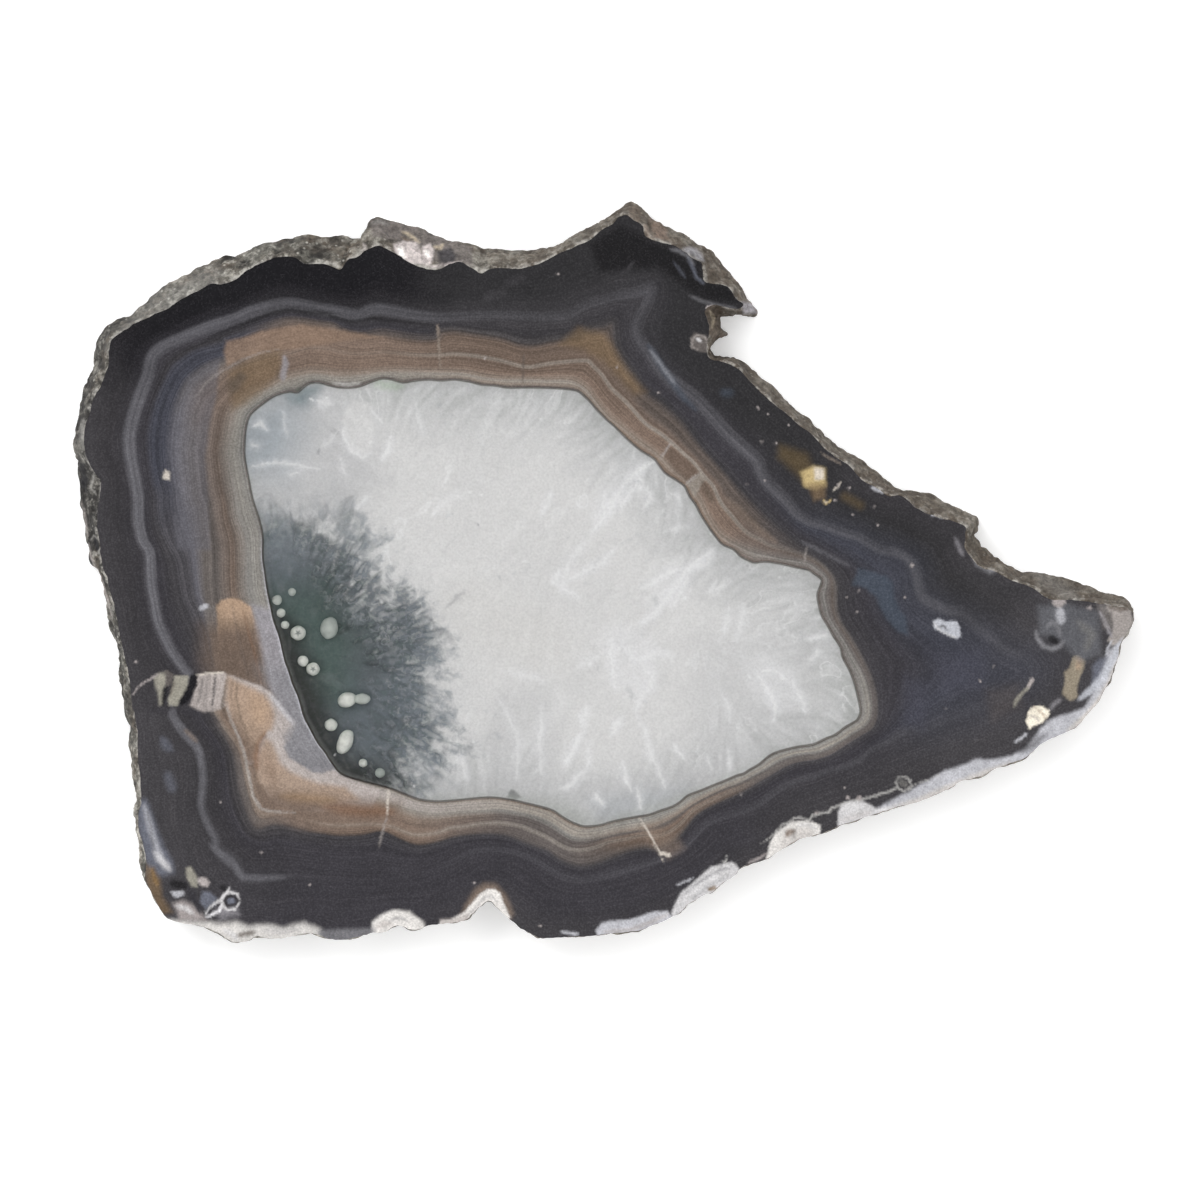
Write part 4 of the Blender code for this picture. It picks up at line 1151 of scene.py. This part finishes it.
spine = on_stone(HEART_SPINE_PIXELS)
nearest, reach = np.zeros_like(heart_flat), np.full(len(heart_flat), np.inf)
for start, end in zip(spine, spine[1:]):
    share = np.clip((heart_flat - start) @ (end - start) / ((end - start) @ (end - start)), 0, 1)
    beside = start + share[:, None] * (end - start)
    distance = np.linalg.norm(heart_flat - beside, axis=1)
    closer = distance < reach
    nearest[closer], reach[closer] = beside[closer], distance[closer]
away = heart_flat - nearest
swing = np.arctan2(away[:, 1], away[:, 0]) + HEADING_SWING * relief(heart_flat, HEADING_RELIEF, 87)
heading = np.stack([np.cos(swing), np.sin(swing)], axis=1)
heart_growth = np.stack([streaks(heart_flat, heading, WISP_SIZE, 82),
                         streaks(heart_flat, heading, FEATHER_SIZE, 83), flames], axis=1)
veils = [(tone, share * float(strength), soft, spread * float(width), pixels(" ".join(points)))
         for _, strength, width, *points in HEART_VEILS for tone, share, soft, spread in VEIL_LINES]
heart_stain = painted(heart_pixels, (*HEART_MARKS, *veils), HEART_FLECKS, "snow", 61, heart_paint, 2,
                      swing=0.02, wander=VEIL_WANDER_PIXELS)
smoke_colour = np.tile(heart_paint("smoke"), (len(heart_flat), 1))
smoke_colour = painted(heart_pixels, SMOKE_MARKS, (), "snow", 65, heart_paint, under=smoke_colour, swing=0.1)

# Milky quartz: coarse crystals full of tiny hollows that scatter the light, in feathers a millimetre wide
# that run inwards from the bands. The smoky part is clearer, so it looks dark between its wisps.
milky_material, tree, output = new_material("milky_quartz")
where = add(tree, "TexCoord")["Object"]
grown = add(tree, "SeparateXYZ", {0: add(tree, "Attribute", attribute_name="growth")["Vector"]})
wander = add(tree, "TexNoise", {"Vector": where, "Scale": 420.0, "Detail": 4.0, "Roughness": 0.6})[0]
wander = add(tree, "MapRange", {"Value": wander, 1: 0.3, 2: 0.7, 3: -0.4, 4: 0.4}, clamp=False)[0]
edge = add(tree, "Attribute", attribute_name="edge")["Fac"]
calm = add(tree, "MapRange", {"Value": edge, 1: 13.0, 2: 4.0, 3: 0.5, 4: 0.8})[0]
wisps, feathers, flames = (add(tree, "Math", {0: part, 1: wander}, operation="ADD")[0] for part in grown)
wisps, feathers = (add(tree, "Math", {0: part, 1: calm}, operation="MULTIPLY")[0]
                   for part in (wisps, feathers))
crease = add(tree, "Math", {0: add(tree, "Math", {0: wisps, 1: 0.9}, operation="SUBTRACT")[0]},
             operation="ABSOLUTE")[0]
patches = add(tree, "TexNoise", {"Vector": where, "Scale": 75.0, "Detail": 3.0})[0]
clouds = add(tree, "TexNoise", {"Vector": where, "Scale": 110.0, "Detail": 4.0, "Roughness": 0.6})[0]
grains = add(tree, "TexNoise", {"Vector": where, "Scale": 3000.0, "Detail": 2.0, "Roughness": 0.6})[0]
crease_share = add(tree, "Math", {0: add(tree, "MapRange", {"Value": crease, 1: 0.16, 2: 0.0})[0],
                                  1: add(tree, "MapRange", {"Value": patches, 1: 0.46, 2: 0.6})[0]},
                   operation="MULTIPLY")[0]
near_edge = add(tree, "Math", {0: add(tree, "MapRange", {"Value": edge, 1: 7.0, 2: 0.8})[0],
                               1: add(tree, "MapRange", {"Value": feathers, 1: 0.3, 2: -1.4})[0]},
                operation="MULTIPLY")[0]
pale = overlaid(tree, heart_paint("milk"), (
    (clouds, 0.5, 0.3, "grey", 0.2), (edge, 10.0, 0.0, "grey", 0.85), (wisps, -0.5, -2.4, "grey", 0.35),
    (wisps, 0.6, 2.2, "snow", 0.6), (feathers, -0.6, -2.4, "grey", 0.3), (feathers, 0.8, 2.4, "snow", 0.35),
    (near_edge, 0.0, 1.0, "shade", 0.5), (crease_share, 0.0, 1.0, "snow", 0.8),
), heart_paint)
smoke_share = add(tree, "Attribute", attribute_name="smoke")["Fac"]
mottle = add(tree, "TexNoise", {"Vector": where, "Scale": 620.0, "Detail": 4.0, "Roughness": 0.62,
                                "Distortion": 0.5})[0]
dark = add(tree, "Attribute", attribute_name="smoke_colour")["Color"]
curls = add(tree, "TexNoise", {"Vector": where, "Scale": 1150.0, "Detail": 3.0, "Roughness": 0.6,
                               "Distortion": 0.8})[0]
thin = add(tree, "MapRange", {"Value": smoke_share, 1: 1.2, 2: 0.75, 3: 0.08, 4: 1.0})[0]
dark = overlaid(tree, dark, (
    (flames, -0.5, 2.2, "haze", 0.24), (mottle, 0.49, 0.62, "haze", 0.4), (mottle, 0.5, 0.36, "fern", 0.5),
    (curls, 0.53, 0.65, "grey", 0.42), (flames, -0.4, -2.0, "night", 0.35), (flames, 1.0, 2.2, "milk", 0.6),
), heart_paint, fade=thin)
ragged = add(tree, "MapRange", {"Value": mottle, 1: 0.3, 2: 0.7, 3: -0.22, 4: 0.22}, clamp=False)[0]
smoke_share = add(tree, "Math", {0: smoke_share, 1: ragged}, operation="ADD")[0]
smoke_share = add(tree, "MapRange", {"Value": smoke_share, 1: 0.26, 2: 0.84},
                  interpolation_type="SMOOTHSTEP")[0]
base = stained(tree, add(tree, "Mix", {0: smoke_share, 6: pale, 7: dark}, data_type="RGBA")[2])
base = overlaid(tree, base, ((edge, 0.9, 0.3, "shade", 0.25), (edge, 0.3, 0.18, "rim", 0.8)), heart_paint)
light = add(tree, "MapRange", {"Value": grains, 1: 0.3, 2: 0.7, 3: 0.92, 4: 1.08})[0]
crisp = add(tree, "MapRange", {"Value": edge, 1: 10.0, 2: 2.0, 3: 0.012, 4: 0.035})[0]
crisp = add(tree, "Math", {0: feathers, 1: crisp, 2: 1.0}, operation="MULTIPLY_ADD")[0]
light = add(tree, "Math", {0: light, 1: crisp}, operation="MULTIPLY")[0]
base = add(tree, "VectorMath", {0: base, 1: light}, operation="MULTIPLY")[0]
shader = add(tree, "BsdfPrincipled", {"Base Color": base, "Roughness": 0.6, "Specular IOR Level": 0.0})[0]
tree.links.new(shader, output.inputs[0])

milky_quartz = new_piece(
    "milky_quartz", np.column_stack([heart_flat, THICKNESS - heart_depth]), heart_triangles, milky_material,
    smooth=True, uv=flat_uv(heart_flat, heart_triangles), growth=heart_growth, smoke=smoke,
    edge=heart_edge / MM, stain=heart_stain, smoke_colour=smoke_colour,
)


# Small cream balls of chalcedony float in the window. Each grew outwards from one point, some of them two
# grown into one. The polishing cut the largest, so their hearts show as dark stars.
# Rows are the middle's pixel, half length, half width and turn, then 1 for a star, and how faint it is.
BALLS = (
    (277, 600, 5.0, 5.0, 0, 0, 0.35), (292, 592, 4.0, 4.0, 0, 0, 0.5), (281, 613, 4.5, 4.5, 0, 0, 0.2),
    (285, 625, 4.2, 4.0, 0, 0, 0.2), (298, 633, 7.6, 7.4, 0, 1, 0.0), (329, 628, 11.0, 9.0, 80, 0, 0.5),
    (303, 661, 5.5, 5.5, 0, 0, 0.0), (313, 669, 6.8, 6.6, 0, 1, 0.0), (347, 700, 9.4, 7.6, 20, 0, 0.0),
    (362, 699, 8.5, 5.5, 0, 0, 0.4), (331, 725, 6.4, 6.2, 0, 0, 0.05), (345, 742, 13.0, 7.6, 68, 0, 0.0),
    (363, 763, 4.4, 4.4, 0, 0, 0.15), (380, 773, 5.0, 5.0, 0, 0, 0.6),
)
BALL_RINGS, BALL_RIBS = 18, 36
BALL_COVER = 0.06 * MM


def ball_surface():
    """Ball point (u, v): u round the upright axis, v from pole to pole, stretched along one level axis by
    the half length and squeezed along the other and upwards by the half width, with a light ripple."""
    v, u = (part.ravel() for part in np.meshgrid(np.linspace(0.02, 0.98, BALL_RINGS) * np.pi,
                                                 2 * np.pi * np.arange(BALL_RIBS) / BALL_RIBS, indexing="ij"))
    around = np.stack([np.sin(v) * np.cos(u), np.sin(v) * np.sin(u), np.cos(v)], axis=1)
    points, looks = [], []
    for k, (x, y, length, width, degrees, star, faint) in enumerate(BALLS):
        ripple = 1 + 0.05 * lattice_noise(around * 2.2 + 9 * k, 1.0, 71)
        sized = around * (length * PIXEL, width * PIXEL, 0.8 * width * PIXEL) * ripple[:, None]
        turn = np.radians(degrees)
        flat = sized[:, :2] @ np.array([[np.cos(turn), np.sin(turn)], [-np.sin(turn), np.cos(turn)]])
        middle = (*on_stone((x, y)), THICKNESS - BALL_COVER - 0.8 * width * PIXEL)
        points.append(np.column_stack([flat, sized[:, 2]]) + middle)
        heart = star * np.clip(1.6 - np.sin(v) * (4.2 + 1.2 * np.sin(5 * u)), 0, 1) * (v < 1.5)
        looks.append(np.stack([heart, np.sin(v) ** 6, np.full(len(v), faint)], axis=1))
    return np.vstack(points), np.vstack(looks)


ball_points, ball_looks = ball_surface()
ring, rib = (part.ravel() for part in np.indices((BALL_RINGS - 1, BALL_RIBS)))
beside = (rib + 1) % BALL_RIBS
one = np.stack([ring * BALL_RIBS + rib, (ring + 1) * BALL_RIBS + rib, (ring + 1) * BALL_RIBS + beside,
                ring * BALL_RIBS + beside], axis=1).tolist()
ribs = range(BALL_RIBS)
one += [list(ribs), [(BALL_RINGS - 1) * BALL_RIBS + rib for rib in reversed(ribs)]]
ball_faces = [[corner + k * BALL_RINGS * BALL_RIBS for corner in face]
              for k in range(len(BALLS)) for face in one]

# Cream chalcedony: waxy and a little see-through, greener towards its edge, with a dark star in some hearts.
ball_material, tree, output = new_material("cream_chalcedony")
where = add(tree, "TexCoord")["Object"]
mottle = add(tree, "TexNoise", {"Vector": where, "Scale": 1500.0, "Detail": 3.0})[0]
light = add(tree, "MapRange", {"Value": mottle, 1: 0.3, 2: 0.7, 3: 0.85, 4: 1.1})[0]
looks = add(tree, "SeparateXYZ", {0: add(tree, "Attribute", attribute_name="looks")["Vector"]})
base = add(tree, "VectorMath", {0: under_quartz("#e0e2d4")[:3], 1: light}, operation="MULTIPLY")[0]
for share, tone, strength in (
    (looks[1], "#93a294", 0.6), (looks[2], "#5d6a66", 1.0), (looks[0], "#4c524f", 0.9),
):
    share = add(tree, "Math", {0: share, 1: strength}, operation="MULTIPLY")[0]
    base = add(tree, "Mix", {0: share, 6: base, 7: under_quartz(tone)}, data_type="RGBA")[2]
shader = add(tree, "BsdfPrincipled", {"Base Color": base, "Roughness": 0.5, "Specular IOR Level": 0.0})[0]
tree.links.new(shader, output.inputs[0])
spherulites = new_piece("spherulites", ball_points, ball_faces, ball_material, smooth=True, looks=ball_looks)

# The clear quartz lies over them as one body, flush with the polished face and polished with it.
CLEAR_DEPTH = 4.2 * MM
count = len(quartz_line)
here, following = np.arange(count), (np.arange(count) + 1) % count
clear_points = np.vstack([np.column_stack([quartz_line, np.full(count, THICKNESS - drop)])
                          for drop in (0.0, CLEAR_DEPTH)])
if depth_inside(quartz_line, quartz_line + 0.1 * MM * outward(quartz_line)).mean() > 0:
    clear_points = np.vstack([clear_points[count - 1 :: -1], clear_points[: count - 1 : -1]])
clear_walls = np.stack([here, following, following + count, here + count], axis=1).tolist()

# Rock crystal: clear, polished, with a faint cool tint in depth, and tiny ripples left by the polishing.
clear_material, tree, output = new_material("clear_quartz")
where = add(tree, "TexCoord")["Object"]
ripple = add(tree, "TexNoise", {"Vector": where, "Scale": 400.0, "Detail": 2.0})[0]
bump = add(tree, "Bump", {"Height": ripple, "Strength": 0.15, "Distance": 0.02 * MM})[0]
shader = add(tree, "BsdfPrincipled", {"Base Color": linear("#ffffff"), "Roughness": 0.03, "IOR": 1.544,
                                      "Transmission Weight": 1.0, "Normal": bump})[0]
tree.links.new(shader, output.inputs[0])
tint = add(tree, "VolumeAbsorption", {"Color": linear("#f2f2f2"), "Density": 6.0})[0]
tree.links.new(tint, output.inputs[1])
clear_faces = [list(range(count))[::-1], list(range(count, 2 * count)), *clear_walls]
clear_quartz = new_piece("clear_quartz", clear_points, clear_faces, clear_material)

# The back was sawn and never polished, so the same bands show dull and chalky, a little shifted, because
# they run askew through the slab. The saw left faint arcs.
BACK_SPACING = 0.7 * MM
BACK_SHIFT_PIXELS = (-6, -20)
back_flat, back_triangles = filled(foot, (), BACK_SPACING, 91)
back_triangles = back_triangles[:, ::-1]
unshifted = on_stone(on_photo(back_flat) - BACK_SHIFT_PIXELS)
back_depths = np.stack([depth_inside(line, unshifted) for line in (rim[::8], *band_lines)], axis=1) / MM

# Sawn chalcedony: matt, lighter than the polished face from fine saw dust scratches 0.3 mm apart.
sawn_material, tree, output = new_material("sawn_chalcedony")
where = add(tree, "TexCoord")["Object"]
colour = banded_colour(tree)
inner = add(tree, "SeparateXYZ", {0: add(tree, "Attribute", attribute_name="inner_bands")["Vector"]})
colour = overlaid(tree, colour, ((inner[2], -0.1, 0.3, "#aaaaa9", 1.0),), linear)
colour = add(tree, "Mix", {0: 0.25, 6: colour, 7: linear("#8b8985")}, data_type="RGBA")[2]
saw = add(tree, "Mapping", {"Vector": where, "Location": (0.32, 0.11, 0.0)})[0]
arcs = add(tree, "TexWave", {"Vector": saw, "Scale": 520.0, "Distortion": 2.0, "Detail": 2.0,
                             "Detail Scale": 3.0}, wave_type="RINGS", rings_direction="Z")[1]
bump = add(tree, "Bump", {"Height": arcs, "Strength": 0.3, "Distance": 0.05 * MM})[0]
shader = add(tree, "BsdfPrincipled", {"Base Color": colour, "Roughness": 0.6, "IOR": 1.54, "Normal": bump})[0]
tree.links.new(shader, output.inputs[0])
back_points = np.column_stack([back_flat, np.zeros(len(back_flat))])
sawn_back = new_piece("sawn_back", back_points, back_triangles, sawn_material,
                      uv=flat_uv(back_flat, back_triangles), outer_bands=back_depths[:, :3],
                      inner_bands=back_depths[:, 3:])
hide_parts("agate_slice")

# The slice lies on a plain near-white floor, under a pale sky and one wide soft lamp at the upper left. The
# sky is dim overhead and lower down, so that the polished face mirrors little of it from above and aslant.
FLOOR_RADIUS = 8.0
FLOOR_RIBS = 96
CAMERA_HEIGHT = 3.0
PHOTO_PIXELS = 1200
FRAME_WIDTH = PHOTO_PIXELS * PIXEL
FRAME_CENTRE = on_stone((PHOTO_PIXELS / 2, PHOTO_PIXELS / 2))
SENSOR = 36.0
FLOOR_GLOW = 0.22
LAMP_PLACE = (-1.3, 1.3, 1.7)
LAMP_SIZE, LAMP_WATTS = 1.3, 17.5
# Brightness of the sky by the sine of its height.
SKY = ((0.0, 0.95), (0.12, 0.95), (0.22, 0.25), (0.52, 0.25), (0.64, 1.3), (0.8, 1.15), (0.93, 0.1),
       (1.0, 0.06))
SKY_STRENGTH = 1.84

turn = 2 * np.pi * np.arange(FLOOR_RIBS) / FLOOR_RIBS
floor_mesh = bpy.data.meshes.new("floor")
floor_points = np.stack([FLOOR_RADIUS * np.cos(turn), FLOOR_RADIUS * np.sin(turn), 0 * turn], axis=1)
floor_mesh.from_pydata(floor_points.tolist(), [], [list(range(FLOOR_RIBS))])
floor_material, tree, output = new_material("white_paper")
tree.links.new(add(tree, "BsdfPrincipled", {"Base Color": linear("#f8f8f8"), "Roughness": 0.9,
                                            "Specular IOR Level": 0.0, "Emission Color": linear("#ffffff"),
                                            "Emission Strength": FLOOR_GLOW})[0], output.inputs[0])
floor_mesh.materials.append(floor_material)
floor = bpy.data.objects.new("floor", floor_mesh)
bpy.context.scene.collection.objects.link(floor)

world = bpy.data.worlds.new("studio")
world.use_nodes = True
tree = world.node_tree
tree.nodes.clear()
up = add(tree, "SeparateXYZ", {0: add(tree, "TexCoord")["Generated"]})[2]
sky = add(tree, "ValToRGB", {0: up}, [(height, (light, light, light, 1.0)) for height, light in SKY])[0]
glow = add(tree, "Background", {"Color": sky, "Strength": SKY_STRENGTH})[0]
tree.links.new(glow, tree.nodes.new("ShaderNodeOutputWorld").inputs[0])
bpy.context.scene.world = world

lamp_data = bpy.data.lights.new("soft_lamp", "AREA")
lamp_data.shape, lamp_data.size, lamp_data.energy = "DISK", LAMP_SIZE, LAMP_WATTS
lamp = bpy.data.objects.new("soft_lamp", lamp_data)
lamp.location = x, y, z = LAMP_PLACE
lamp.rotation_euler = (np.arctan2(np.hypot(x, y), z), 0.0, np.arctan2(y, x) + np.pi / 2)
bpy.context.scene.collection.objects.link(lamp)

camera_data = bpy.data.cameras.new("camera")
camera_data.sensor_width = SENSOR
camera_data.lens = SENSOR * (CAMERA_HEIGHT - THICKNESS) / FRAME_WIDTH
camera_data.clip_end = 100.0
camera = bpy.data.objects.new("camera", camera_data)
camera.location = (*FRAME_CENTRE, CAMERA_HEIGHT)
bpy.context.scene.collection.objects.link(camera)
bpy.context.scene.camera = camera
bpy.context.scene.view_settings.view_transform = "Standard"
